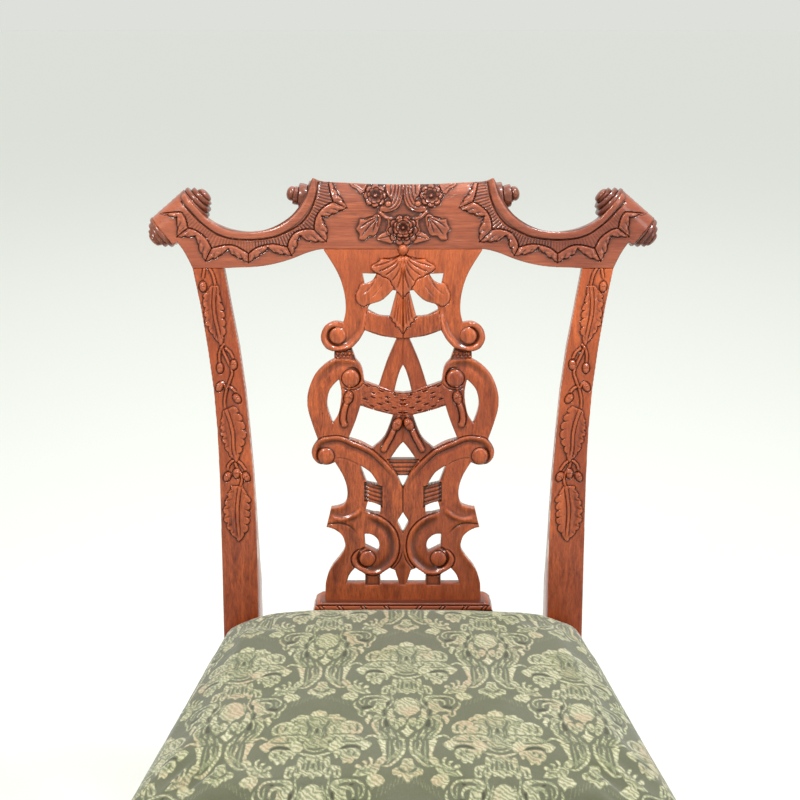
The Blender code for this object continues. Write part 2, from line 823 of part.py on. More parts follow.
def make_claw(side, foot, turn):
    """One of the four toes that grip the ball: a bent tapering tube with eight sides."""
    heading = Matrix.Rotation(math.pi / 2 * turn, 3, "Z") @ out_of(side)
    ankle = leg_middle(side) + out_of(side) * ANKLE_OUT
    across = heading.cross((0, 0, 1))

    def middle(i):
        share, out, height, _ = CLAW[min(len(CLAW) - 1, max(0, i))]
        return ankle.lerp(foot, share) + (heading * out + Vector((0, 0, height))) * MM

    def place(k, i):
        normal = across.cross(middle(i + 1) - middle(i - 1)).normalized()
        angle = 2 * math.pi * (k + 0.5) / 8
        spoke = across * math.cos(angle) + normal * math.sin(angle)
        return middle(i) + spoke * CLAW[i][3] * MM

    name = f"claw {'left' if side < 0 else 'right'} {turn}"
    return loft(name, 8, list(range(len(CLAW))), place)


def make_knee_blocks():
    """Scrolled brackets under the rails, two to each front leg."""
    outline = [(0, 0, 1), (46, 0, 1), (43, -6), (33, -8), (22, -12), (12, -24), (8, -36), (0, -42, 1)]
    for side, name in ((-1, "left"), (1, "right")):
        start = Vector((side * (LEG_INNER_X - GAP), FRONT_RAIL_Y, RAIL_BOTTOM - GAP))
        across = Matrix(((-side, 0, 0), (0, 0, -1), (0, 1, 0))).to_4x4()
        add_knee_block(f"knee_block_{name}_front", outline, Matrix.Translation(start) @ across)
        x, y = side_rail_line(side, LEG_BACK_Y + GAP)
        further = Vector((*side_rail_line(side, BACK_FRONT_Y), 0))
        run = (further - Vector((x, y, 0))).normalized()
        outward = Vector((run.y, -run.x, 0)) * side
        corner = Vector((x, y, RAIL_BOTTOM - GAP)) + outward * (RAIL_THICKNESS / 2 - 0.001)
        frame = Matrix((run, (0, 0, 1), outward)).transposed().to_4x4()
        knee = add_knee_block(f"knee_block_{name}_side", outline, Matrix.Translation(corner) @ frame)
        trim = block(f"knee trim {name}", (-1, LEG_BACK_Y - 0.1, 0), (1, LEG_BACK_Y + GAP, 1))
        boolean(knee, "DIFFERENCE", trim)


def add_knee_block(name, outline, frame):
    return flat_board(name, [smooth_outline(outline, 2)], -0.022, 0, WOOD, frame)


# ---------------------------------------------------------------- corner blocks and screws

BLOCK_LOW, BLOCK_HIGH = RAIL_BOTTOM + 0.012, LEDGE_Z - 0.004
SCREW_PLACE = 0.73
SCREW_PROFILE = [(0, 0), (4.4, 0), (2.2, -2.6), (2.2, -30), (0, -38)]


def corner_block(name, corner, first, second, reach):
    """A triangular glue block in a corner of the rails. Its two back faces lie a gap off the rails,
    and a screw goes through its long face square into each rail."""
    first, second = Vector(first).normalized(), Vector(second).normalized()
    corner = Vector(corner)
    nose = 0.012
    plan = [
        corner + first * nose,
        corner + first * reach,
        corner + second * reach,
        corner + second * nose,
    ]
    made = plan_board(name, [(p.x, p.y) for p in plan], BLOCK_LOW, BLOCK_HIGH, PALE_WOOD)
    height = (BLOCK_LOW + BLOCK_HIGH) / 2
    screws = []
    for rail, other, end, lift in ((first, second, "a", 0.012), (second, first, "b", -0.012)):
        inward = Vector((-rail.y, rail.x))
        if inward.dot(other) < 0:
            inward = -inward
        on_rail = corner + rail * (reach * SCREW_PLACE)
        face = on_rail + inward * face_distance(plan, on_rail, inward)
        head = face - inward * 0.001
        matrix = along(Vector((head.x, head.y, height + lift)), (inward.x, inward.y, 0))
        shape = [(r * MM, h * MM) for r, h in SCREW_PROFILE]
        turned(f"{name}_screw_{end}", shape, 10, STEEL, matrix)
        room = [(0, 6), (4.8, 6), (4.8, 0), (2.6, -2.8), (2.6, -30.5), (0, -38.5)]
        hole = turned(f"{name} hole {end}", [(r * MM, h * MM) for r, h in room], 10, None, matrix)
        screws.append((hole, rail))
        boolean(made, "DIFFERENCE", hole)
    return screws


def face_distance(plan, start, direction):
    """How far from start along direction the block's long face lies."""
    a, b = plan[1], plan[2]
    edge = b - a
    offset = a - start
    return (offset.x * edge.y - offset.y * edge.x) / (direction.x * edge.y - direction.y * edge.x)


def make_corner_blocks():
    for side, name in ((-1, "left"), (1, "right")):
        rail_run = Vector(side_rail_line(side, BACK_FRONT_Y)) - Vector(
            side_rail_line(side, LEG_BACK_Y)
        )
        rail_run.normalize()
        inner_face = RAIL_THICKNESS / 2 / rail_run.y + GAP
        front_y = FRONT_RAIL_Y + RAIL_THICKNESS + GAP
        front_x = side_rail_line(side, front_y)[0] - side * inner_face
        rail_front = bpy.data.objects["seat_rail_front"]
        rail_side = bpy.data.objects[f"seat_rail_{name}"]
        rail_rear = bpy.data.objects["seat_rail_rear"]
        front = corner_block(
            f"corner_block_front_{name}", (front_x, front_y), (-side, 0), rail_run, 0.074
        )
        clear = block(
            f"leg room {name}",
            leg_middle(side) + Vector((-LEG_SQUARE / 2 - GAP, -LEG_SQUARE / 2 - GAP, 0.3)),
            leg_middle(side) + Vector((LEG_SQUARE / 2 + GAP, LEG_SQUARE / 2 + GAP, 0.6)),
        )
        boolean(bpy.data.objects[f"corner_block_front_{name}"], "DIFFERENCE", clear)
        boolean(rail_front, "DIFFERENCE", front[0][0])
        boolean(rail_side, "DIFFERENCE", front[1][0])
        rear_y = BACK_FRONT_Y - 0.016 - GAP
        rear_x = side_rail_line(side, rear_y)[0] - side * inner_face
        rear = corner_block(
            f"corner_block_rear_{name}", (rear_x, rear_y), (-side, 0), -rail_run, 0.066
        )
        boolean(rail_rear, "DIFFERENCE", rear[0][0])
        boolean(rail_side, "DIFFERENCE", rear[1][0])


# ---------------------------------------------------------------- the drop-in seat

FRAME_INSET = COVER_CLOTH + 0.0012
FRAME_FRONT_Y = SEAT_FRONT_Y + FRAME_INSET
FRAME_REAR_Y = SEAT_REAR_Y - FRAME_INSET - 0.001
FRAME_TOP_Z = SEAT_FRAME_Z + SEAT_FRAME_THICKNESS
FOAM_BOTTOM = FRAME_TOP_Z + 2 * WEB_THICKNESS + 4 * GAP


def seat_plan(inset, y):
    """Half the width of the drop-in seat's frame at that y, moved in by inset."""
    return side_rail_line(1, y)[0] + RAIL_THICKNESS / 2 - LIP - FRAME_INSET - inset


def make_seat_frame():
    """Four bars, half lapped at the corners: the front and rear bars run under the side bars."""
    width = SEAT_FRAME_WIDTH
    middle = SEAT_FRAME_Z + SEAT_FRAME_THICKNESS / 2
    lap_low = (middle - GAP / 2, FRAME_TOP_Z + 0.01)
    lap_high = (SEAT_FRAME_Z - 0.01, middle + GAP / 2)
    ends = {
        "front": (FRAME_FRONT_Y, FRAME_FRONT_Y + width),
        "rear": (FRAME_REAR_Y - width, FRAME_REAR_Y),
    }
    cut = FRAME_CORNER
    for end, (low_y, high_y) in ends.items():
        outer, inner = (low_y, high_y) if end == "front" else (high_y, low_y)
        step = cut if end == "front" else -cut
        half = [(seat_plan(0, inner), inner), (seat_plan(0, outer + step), outer + step)]
        half.append((seat_plan(cut, outer), outer))
        corners = half + [(-x, y) for x, y in reversed(half)]
        cross_bar = plan_board(
            f"seat_frame_{end}", corners, SEAT_FRAME_Z, FRAME_TOP_Z, PALE_WOOD
        )
        for side in (-1, 1):
            room = [
                (side * (seat_plan(width + GAP, y)), y) for y in (low_y - 0.01, high_y + 0.01)
            ]
            room += [(side * (seat_plan(-0.02, y)), y) for y in (high_y + 0.01, low_y - 0.01)]
            boolean(cross_bar, "DIFFERENCE", plan_board(f"lap {end} {side}", room, *lap_low))
    for side, name in ((-1, "left"), (1, "right")):
        front, rear = FRAME_FRONT_Y, FRAME_REAR_Y
        bar_plan = [(cut, front), (0, front + cut), (0, rear - cut), (cut, rear)]
        bar_plan += [(width, rear), (width, front)]
        corners = [(side * seat_plan(inset, y), y) for inset, y in bar_plan]
        side_bar = plan_board(
            f"seat_frame_{name}", corners, SEAT_FRAME_Z, FRAME_TOP_Z, PALE_WOOD
        )
        for end, (low_y, high_y) in ends.items():
            low = low_y - 0.02 if end == "front" else low_y - GAP
            high = high_y + GAP if end == "front" else high_y + 0.02
            lap = block(
                f"lap {name} {end}",
                (side * 0.12 if side > 0 else -0.4, low, lap_high[0]),
                (0.4 if side > 0 else side * 0.12, high, lap_high[1]),
            )
            boolean(side_bar, "DIFFERENCE", lap)


def make_webbing():
    """Jute straps tacked over the frame and woven over and under each other."""
    rows = [-0.150, -0.055, 0.040]
    columns = [-0.105, 0.0, 0.105]
    lift = WEB_THICKNESS + 2 * GAP
    base = FRAME_TOP_Z + GAP
    end_on_frame = 0.030

    def strap(name, axis, crossings, start, end, over_first, place):
        stops = [(start, 0), (start + end_on_frame, 0)]
        for i, crossing in enumerate(crossings):
            high = lift if (i + over_first) % 2 == 0 else 0
            stops += [(crossing - 0.55 * WEB_WIDTH, high), (crossing + 0.55 * WEB_WIDTH, high)]
        stops += [(end - end_on_frame, 0), (end, 0)]

        def ring(k, stop):
            across = WEB_WIDTH / 2 if k in (0, 3) else -WEB_WIDTH / 2
            up = WEB_THICKNESS if k in (0, 1) else 0
            return place(stop[0], across, base + stop[1] + up)

        loft(name, 4, stops, ring, JUTE)

    for i, column in enumerate(columns):
        strap(
            f"webbing_lengthwise_{i + 1}",
            "y",
            rows,
            FRAME_FRONT_Y + 0.012,
            FRAME_REAR_Y - 0.012,
            i,
            lambda run, across, z, column=column: Vector((column + across, run, z)),
        )
    for i, row in enumerate(rows):
        half = seat_plan(0.012, row + WEB_WIDTH / 2)
        strap(
            f"webbing_crosswise_{i + 1}",
            "x",
            columns,
            -half,
            half,
            i + 1,
            lambda run, across, z, row=row: Vector((run, row - across, z)),
        )


SIDES_OF_CUSHION = 36
# The cushion's rings above the frame: height over the rails, inset and corner radius, in mm
CUSHION_RINGS = [
    (6.1, 0, 6),
    (16, -2.5, 8),
    (29, -2, 11),
    (39, 1.5, 15),
    (46.5, 8, 20),
    (51.5, 17, 27),
    (56.5, 40, 40),
    (61, 75, 55),
    (64.5, 120, 55),
]
FRAME_CORNER = 0.006


def seat_ring(k, inset, radius):
    """Point k of 36 round the drop-in seat, in plan, its corners rounded to radius."""
    corner, step = divmod(k, 9)
    points = [rounded_corner(corner, angle, inset, radius) for angle in (0, 45, 90)]
    if step < 3:
        return points[step]
    end = rounded_corner((corner + 1) % 4, 0, inset, radius)
    share = (step - 2) / 7
    return tuple(a + (b - a) * share for a, b in zip(points[2], end))


def rounded_corner(corner, angle, inset, radius):
    turn = math.radians(90 * corner + angle)
    across = 1 if corner in (0, 3) else -1
    deep = 1 if corner in (0, 1) else -1
    half_depth = (FRAME_REAR_Y - FRAME_FRONT_Y) / 2 - inset
    middle_y = (FRAME_REAR_Y + FRAME_FRONT_Y) / 2
    radius = min(radius, 0.8 * half_depth)
    y = middle_y + deep * (half_depth - radius * (1 - abs(math.sin(turn))))
    return across * (seat_plan(inset, y) - radius * (1 - abs(math.cos(turn)))), y


def crowned(name, inset, bottom, lift, kind=None):
    """A closed form over the seat's plan with upright sides and a crowned top."""
    rings = [(bottom, inset, FRAME_CORNER)]
    for height, move, radius in CUSHION_RINGS:
        rings.append((RAIL_TOP + height * MM + lift, inset + move * MM, radius * MM))
    rings.append((RAIL_TOP + CROWN_TOP * MM + lift, inset + 0.165, 0.03))

    def place(k, ring):
        return Vector((*seat_ring(k, ring[1], ring[2]), ring[0]))

    return loft(name, SIDES_OF_CUSHION, rings, place, kind, 60)


def make_foam():
    """The stuffing: it fills the cover from just over the webbing."""
    foam = crowned("seat_foam", 0.0, FRAME_TOP_Z - 0.004, 0.0, FOAM)
    under = block("foam level", (-0.5, -0.5, FRAME_TOP_Z - 0.02), (0.5, 0.5, FOAM_BOTTOM))
    boolean(foam, "DIFFERENCE", under)


def make_cushion():
    make_foam()
    cover = crowned("seat_cover", -COVER_CLOTH - GAP, LEDGE_Z + GAP, COVER_CLOTH + GAP, CLOTH)
    inside = crowned("cover inside", -GAP, LEDGE_Z + GAP + COVER_CLOTH, GAP)
    hem = 0.016
    low = [(-seat_plan(hem, y), y) for y in (FRAME_FRONT_Y + hem, FRAME_REAR_Y - hem)]
    low += [(seat_plan(hem, y), y) for y in (FRAME_REAR_Y - hem, FRAME_FRONT_Y + hem)]
    mouth = plan_board("cover mouth", low, LEDGE_Z - 0.01, LEDGE_Z + 0.01)
    boolean(cover, "DIFFERENCE", inside, mouth)
    y_low, y_high = FRAME_FRONT_Y + hem + 0.002, FRAME_REAR_Y - hem - 0.002
    corners = [(-seat_plan(hem + 0.002, y), y) for y in (y_low, y_high)]
    corners += [(seat_plan(hem + 0.002, y), y) for y in (y_high, y_low)]
    top = SEAT_FRAME_Z - GAP
    plan_board("dust_cover", corners, top - 0.0008, top, CAMBRIC)


# ---------------------------------------------------------------- build

clear_scene()
CHAIR = collection("carved_side_chair")
CUTTERS = collection("cutters")

for chair_side in (-1, 1):
    make_post(chair_side)
make_crest()
make_splat()
make_shoe()
make_rails()
for chair_side in (-1, 1):
    make_leg(chair_side)
make_knee_blocks()
make_corner_blocks()
make_seat_frame()
make_webbing()
make_cushion()
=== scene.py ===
"""The looks of a carved side chair: its carved back, cabriole legs and damask drop-in seat.

The CAD model is the frame. Each detailed piece here stands over the CAD nodes that it replaces,
in the same place. The back is carved as height fields in the frame of its raked front plane: x
across, s up the back and h towards the sitter, all in mm.
"""

import math

import bmesh
import bpy
import numpy as np
from mathutils import Matrix, Vector


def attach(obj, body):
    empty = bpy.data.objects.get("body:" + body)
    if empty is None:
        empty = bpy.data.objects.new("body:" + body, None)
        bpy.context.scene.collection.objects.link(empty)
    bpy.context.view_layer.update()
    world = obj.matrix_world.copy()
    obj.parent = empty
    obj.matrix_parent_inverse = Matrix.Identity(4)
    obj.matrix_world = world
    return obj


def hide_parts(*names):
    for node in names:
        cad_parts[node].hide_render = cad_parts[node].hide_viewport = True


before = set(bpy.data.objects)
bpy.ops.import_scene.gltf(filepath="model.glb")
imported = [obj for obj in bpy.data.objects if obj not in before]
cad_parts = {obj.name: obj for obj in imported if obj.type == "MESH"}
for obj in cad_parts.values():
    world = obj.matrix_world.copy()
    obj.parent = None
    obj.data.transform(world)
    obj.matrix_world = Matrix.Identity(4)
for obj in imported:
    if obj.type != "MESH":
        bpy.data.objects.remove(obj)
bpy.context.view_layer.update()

# The CAD's driving dimensions: metres in the world, and mm in the back's own frame
MM = 0.001
RAKE = math.radians(9)
RAIL_TOP = 0.440
BACK_ZERO = RAIL_TOP + 0.008
BACK_FRONT_Y = 0.1622
FRONT_Y = BACK_FRONT_Y - 0.430
LEG_SQUARE = 0.046
FRONT_HALF_WIDTH = 0.276
SPLAT_THICKNESS, CREST_THICKNESS = 15, 27
# The carving's grid, the rounding of a carved piece's rear edge, and its least thickness
GRID = 0.8
REAR_EASE = 1.2
LEAST_THICKNESS = 0.4


# ---------------------------------------------------------------- curves and height fields


def spline(points, spans=6, closed=False):
    """A Catmull-Rom curve through (x, s) points; a third value of 1 marks a corner."""
    count = len(points)
    result = []
    for i in range(count if closed else count - 1):
        here, there = points[i], points[(i + 1) % count]
        before = points[i - 1] if (closed or i > 0) and len(here) == 2 else here
        last = closed or i + 2 < count
        after = points[(i + 2) % count] if last and len(there) == 2 else there
        straight = len(here) == 3 and len(there) == 3
        for step in range(1 if straight else spans):
            t = step / spans
            weights = (
                -0.5 * t + t * t - 0.5 * t**3,
                1 - 2.5 * t * t + 1.5 * t**3,
                0.5 * t + 2 * t * t - 1.5 * t**3,
                -0.5 * t * t + 0.5 * t**3,
            )
            corners = (before, here, there, after)
            result.append([sum(w * c[a] for w, c in zip(weights, corners)) for a in (0, 1)])
    if not closed:
        result.append(points[-1][:2])
    return np.array(result, float)


def mirrored(half):
    """A closed outline from its half at x >= 0."""
    left = [(-point[0], *point[1:]) for point in reversed(half)]
    if half[0][0] == 0:
        left = left[:-1]
    if half[-1][0] == 0:
        left = left[1:]
    return half + left


def flipped(points, side):
    return [(side * point[0], *point[1:]) for point in points]


def ease(value):
    value = np.clip(value, 0, 1)
    return value * value * (3 - 2 * value)


class Relief:
    """A height field on a square grid over part of the back's plane. H is what is carved, form the
    shape under it, and stain a darker or lighter finish, which also holds painted light and shade.
    cuts and patina weigh the glaze, which is also painted shade."""

    def __init__(self, x0, x1, rows, step=GRID):
        self.step = step
        self.x = step * np.arange(math.floor(x0 / step), round(x1 / step) + 1)
        self.s = rows
        self.X, self.S = np.meshgrid(self.x, self.s)
        self.H = np.zeros_like(self.X)
        self.form = np.zeros_like(self.X)
        self.stain_and_painted_light = np.zeros_like(self.X)
        self.cuts, self.patina_and_shade = 1.0, 0.3

    def mirror(self):
        """Adds the other half to a field that ends on the middle line."""
        self.x = np.concatenate([self.x, -self.x[-2::-1]])
        self.X, self.S = np.meshgrid(self.x, self.s)
        for layer in ("H", "form", "stain_and_painted_light"):
            half = getattr(self, layer)
            setattr(self, layer, np.hstack([half, half[:, -2::-1]]))
        return self

    def reflected(self):
        """The same field on the other side of the middle line."""
        other = Relief(0, 0, self.s, self.step)
        other.x = -self.x[::-1]
        other.X, other.S = np.meshgrid(other.x, other.s)
        for layer in ("H", "form", "stain_and_painted_light"):
            setattr(other, layer, getattr(self, layer)[:, ::-1])
        other.cuts, other.patina_and_shade = self.cuts, self.patina_and_shade
        return other

    def window(self, low, high, margin):
        columns = np.searchsorted(self.x, (low[0] - margin, high[0] + margin))
        rows = np.searchsorted(self.s, (low[1] - margin, high[1] + margin))
        return slice(rows[0], rows[1]), slice(columns[0], columns[1])

    def measure(self, path, reach, closed=False):
        """Over a window round a path: distance, share of the way along it, and inside or not."""
        path = np.asarray(path, float)
        cut = self.window(path.min(0), path.max(0), reach)
        X, S = self.X[cut], self.S[cut]
        ends = np.roll(path, -1, 0) if closed else path[1:]
        starts = path if closed else path[:-1]
        lengths = np.hypot(*(ends - starts).T)
        walked = np.concatenate([[0], np.cumsum(lengths)]) / max(lengths.sum(), 1e-9)
        best = np.full(X.shape, 1e9)
        along = np.zeros(X.shape)
        inside = np.zeros(X.shape, bool)
        for i, (a, b) in enumerate(zip(starts, ends)):
            run = b - a
            if closed and a[1] != b[1]:
                crosses = (S > a[1]) != (S > b[1])
                inside ^= crosses & (X < a[0] + (S - a[1]) * run[0] / run[1])
            u = np.clip(((X - a[0]) * run[0] + (S - a[1]) * run[1]) / max(run @ run, 1e-9), 0, 1)
            far = (X - a[0] - u * run[0]) ** 2 + (S - a[1] - u * run[1]) ** 2
            nearer = far < best
            best = np.where(nearer, far, best)
            along = np.where(nearer, walked[i] + u * (walked[i + 1] - walked[i]), along)
        return cut, np.sqrt(best), along, inside

    def groove(self, points, width, depth, fade=(0, 0)):
        """A cut line with a round bottom. fade is the share of its length that each end dies in."""
        cut, far, along, _ = self.measure(spline(points, 5), width + 1)
        strength = fading(along, fade)
        self.H[cut] -= depth * strength * np.clip(1 - (far / width) ** 2, 0, 1) ** 1.5

    def ridge(self, points, width, height, fade=(0, 0)):
        """A round ridge, added to what is there. width may be a pair, from one end to the other."""
        widths = width if isinstance(width, tuple) else (width, width)
        cut, far, along, _ = self.measure(spline(points, 5), max(widths) + 1)
        radius = widths[0] + (widths[1] - widths[0]) * along
        self.H[cut] += height * np.sqrt(np.clip(1 - (far / radius) ** 2, 0, 1)) * fading(along, fade)

    def swell(self, points, width, height, fade=(0, 0)):
        """A soft rise, or a soft hollow where height is negative, along a line."""
        reach = 2.2 * width
        cut, far, along, _ = self.measure(spline(points, 5), reach)
        self.H[cut] += height * fading(along, fade) * np.exp(-((far / width) ** 2)) * (far < reach)

    def patch(self, points, height, edge=1.5, crown=0.0, level=None, trench=0.7, smooth=True):
        """A raised shape with rounded edges, and a cut line round it."""
        outline = spline(points, 5, True) if smooth else np.array([p[:2] for p in points])
        cut, far, _, inside = self.measure(outline, 2, True)
        rise = np.sqrt(np.clip(1 - (1 - np.clip(far / edge, 0, 1)) ** 2, 0, 1))
        swell = crown * (1 - np.exp(-far / (3 * edge)))
        base = self.H[cut] if level is None else level
        self.H[cut] = np.where(inside, base + height * rise + swell, self.H[cut])
        if trench:
            self.H[cut] -= trench * np.clip(1 - far / 1.0, 0, 1) ** 1.5
        return cut, far, inside

    def ball(self, x, s, radius, height, level=0.0, trench=0.8):
        """A round boss over a level, in a cut ring."""
        cut = self.window((x - radius, s - radius), (x + radius, s + radius), 2)
        far = np.hypot((self.X[cut] - x) / radius, (self.S[cut] - s) / radius)
        dome = level + height * np.sqrt(np.clip(1 - far**2, 0, 1))
        self.H[cut] = np.where(far < 1, np.maximum(self.H[cut], dome), self.H[cut])
        self.H[cut] -= trench * np.clip(1 - np.abs(far - 1) * radius / 0.9, 0, 1)

    def blurred(self, reach, field=None):
        """A field, or the heights, averaged over squares of that half width, three times over."""
        field = self.H if field is None else field
        k = max(1, round(reach / self.step))
        for _ in range(3):
            for axis in (0, 1):
                widths = [(k + 1, k) if a == axis else (0, 0) for a in (0, 1)]
                total = np.cumsum(np.pad(field, widths, mode="edge"), axis=axis)
                ahead = np.take(total, range(2 * k + 1, total.shape[axis]), axis=axis)
                behind = np.take(total, range(total.shape[axis] - 2 * k - 1), axis=axis)
                field = (ahead - behind) / (2 * k + 1)
        return field

    def recess(self):
        """How deep each point lies under its surroundings, from -1 on a crest to 1 in a cut, and
        more than that where the carving round it is dense or the stain, with its painted light and
        shade, is darker. The wood's glaze and painted shade follow it."""
        under_near, under_wide = (self.blurred(reach) - self.H for reach in (1.6, 5))
        depth = np.clip(1.2 * under_near + 0.12 * under_wide, -1, 1)
        dense = self.blurred(4, np.abs(depth))
        return np.clip(self.cuts * depth + self.patina_and_shade * dense + self.stain_and_painted_light, -1, 1)


def fading(along, fade):
    strength = np.ones_like(along)
    if fade[0]:
        strength *= ease(along / fade[0])
    if fade[1]:
        strength *= ease((1 - along) / fade[1])
    return strength


def outline_distance(relief, loops, reach=4.0):
    """(signed distance, nearest outline point) over a field: positive inside, capped at reach."""
    inside = np.zeros(relief.X.shape, bool)
    best = np.full(relief.X.shape, reach**2)
    near_x, near_s = relief.X.copy(), relief.S.copy()
    for loop in loops:
        for a, b in zip(loop, np.roll(loop, -1, 0)):
            run = b - a
            if a[1] != b[1]:
                rows = slice(*np.searchsorted(relief.s, (min(a[1], b[1]), max(a[1], b[1]))))
                s = relief.s[rows, None]
                inside[rows] ^= relief.x[None, :] < a[0] + (s - a[1]) * run[0] / run[1]
            cut = relief.window(np.minimum(a, b), np.maximum(a, b), reach)
            X, S = relief.X[cut], relief.S[cut]
            u = np.clip(((X - a[0]) * run[0] + (S - a[1]) * run[1]) / max(run @ run, 1e-9), 0, 1)
            px, ps = a[0] + u * run[0], a[1] + u * run[1]
            far = (X - px) ** 2 + (S - ps) ** 2
            nearer = far < best[cut]
            best[cut] = np.where(nearer, far, best[cut])
            near_x[cut] = np.where(nearer, px, near_x[cut])
            near_s[cut] = np.where(nearer, ps, near_s[cut])
    far = np.sqrt(best)
    return np.where(inside, far, -far), near_x, near_s


def back_point(x, s, n):
    """World points of the back's frame, for arrays in mm."""
    y = BACK_FRONT_Y + MM * (s * math.sin(RAKE) - n * math.cos(RAKE))
    z = BACK_ZERO + MM * (s * math.cos(RAKE) + n * math.sin(RAKE))
    return np.stack([MM * x, y, z], -1)


def cell_corners(grid):
    """The four corner values of each cell of a grid, one row to a cell."""
    return np.stack([grid[:-1, :-1], grid[:-1, 1:], grid[1:, 1:], grid[1:, :-1]], -1).reshape(-1, 4)


def grid_faces(kept, rim):
    """Quads and triangles over the kept points of a grid, and the edges of their border. A face
    whose points all lie on the rim is left out."""
    number = np.full(kept.shape, -1)
    number[kept] = np.arange(kept.sum())
    corners, on_rim = cell_corners(number), cell_corners(rim)
    there = corners >= 0
    quads = corners[there.all(1) & ~on_rim.all(1)]
    triangles = []
    for k in range(4):
        others = [j for j in range(4) if j != k]
        missing = ~there[:, k] & there[:, others].all(1) & ~on_rim[:, others].all(1)
        triangles.append(corners[missing][:, others])
    triangles = np.vstack(triangles)
    sides = [quads[:, [k, (k + 1) % 4]] for k in range(4)]
    sides += [triangles[:, [k, (k + 1) % 3]] for k in range(3)]
    edges = np.vstack(sides)
    _, first, copies = np.unique(np.sort(edges, 1), axis=0, return_index=True, return_counts=True)
    return quads, triangles, edges[first[copies == 1]]


def carve(name, relief, shapes, back, edge, place=back_point):
    """A solid from a height field: the grid is snapped to the outline, and walls join its front to
    back(x, s), the height of its back. shapes is a list of lists of loops; they are joined."""
    signed, near_x, near_s = outline_distance(relief, shapes[0])
    for loops in shapes[1:]:
        d, px, ps = outline_distance(relief, loops)
        near_x, near_s = np.where(d > signed, px, near_x), np.where(d > signed, ps, near_s)
        signed = np.maximum(d, signed)
    depth = np.clip(signed, 0, edge)
    front = relief.H + relief.form - (edge - np.sqrt(np.clip(edge**2 - (edge - depth) ** 2, 0, None)))
    recess = relief.recess()
    snap = np.abs(signed) < 0.5 * relief.step
    X = np.where(snap, near_x, relief.X)
    S = np.where(snap, near_s, relief.S)
    kept = (signed > 0) | snap
    drop = REAR_EASE - np.clip(signed, 0, REAR_EASE)
    behind = back(X, S) + (REAR_EASE - np.sqrt(np.clip(REAR_EASE**2 - drop**2, 0, None)))
    behind = np.minimum(behind, front - LEAST_THICKNESS)
    quads, triangles, border = grid_faces(kept, snap)
    count = int(kept.sum())
    verts = np.vstack([place(X[kept], S[kept], height[kept]) for height in (front, behind)])
    walls = np.stack([border[:, 1], border[:, 0], border[:, 0] + count, border[:, 1] + count], 1)
    faces = [quads, walls, quads[:, ::-1] + count, triangles, triangles[:, ::-1] + count]
    shade = np.concatenate([recess[kept], np.zeros(count)])
    return mesh_object(name, verts, faces, shade)


def ring_faces(rings, count):
    """Quads between rings of points, each ring closed on itself."""
    at = np.arange(count)
    after = np.roll(at, -1)
    first = np.stack([at, after, after + count, at + count], 1)
    return np.vstack([first + k * count for k in range(rings - 1)])


def tube(rings, ends):
    """(points, faces) of a closed form from rings of points, with a point at each end."""
    count = len(rings[0])
    last = (len(rings) - 1) * count
    at, verts = np.arange(count), np.vstack([*rings, *ends])
    first_cap = np.stack([np.roll(at, -1), at, np.full(count, len(verts) - 2)], 1)
    last_cap = np.stack([at + last, np.roll(at, -1) + last, np.full(count, len(verts) - 1)], 1)
    return verts, [ring_faces(len(rings), count), first_cap, last_cap]


def link(obj):
    bpy.context.scene.collection.objects.link(obj)


def mesh_object(name, verts, faces, shade=None, sharp=35):
    """An object from numpy arrays; faces is a list of index arrays, shade a value per point."""
    faces = [np.asarray(group) for group in faces if len(group)]
    used = np.zeros(len(verts), bool)
    for group in faces:
        used[group.ravel()] = True
    renumber = np.cumsum(used) - 1
    verts = np.asarray(verts)[used]
    loops = np.concatenate([renumber[group].ravel() for group in faces])
    sizes = np.concatenate([np.full(len(group), group.shape[1]) for group in faces])
    mesh = bpy.data.meshes.new(name)
    mesh.vertices.add(len(verts))
    mesh.vertices.foreach_set("co", verts.astype(np.float32).ravel())
    mesh.loops.add(len(loops))
    mesh.loops.foreach_set("vertex_index", loops.astype(np.int32))
    mesh.polygons.add(len(sizes))
    starts = np.concatenate([[0], np.cumsum(sizes)[:-1]])
    mesh.polygons.foreach_set("loop_start", starts.astype(np.int32))
    mesh.update(calc_edges=True)
    mesh.validate()
    if shade is not None:
        layer = mesh.attributes.new("recess", "FLOAT", "POINT")
        layer.data.foreach_set("value", np.asarray(shade, np.float32)[used])
    mesh.shade_smooth()
    mesh.set_sharp_from_angle(angle=math.radians(sharp))
    obj = bpy.data.objects.new(name, mesh)
    link(obj)
    return obj


# ---------------------------------------------------------------- materials


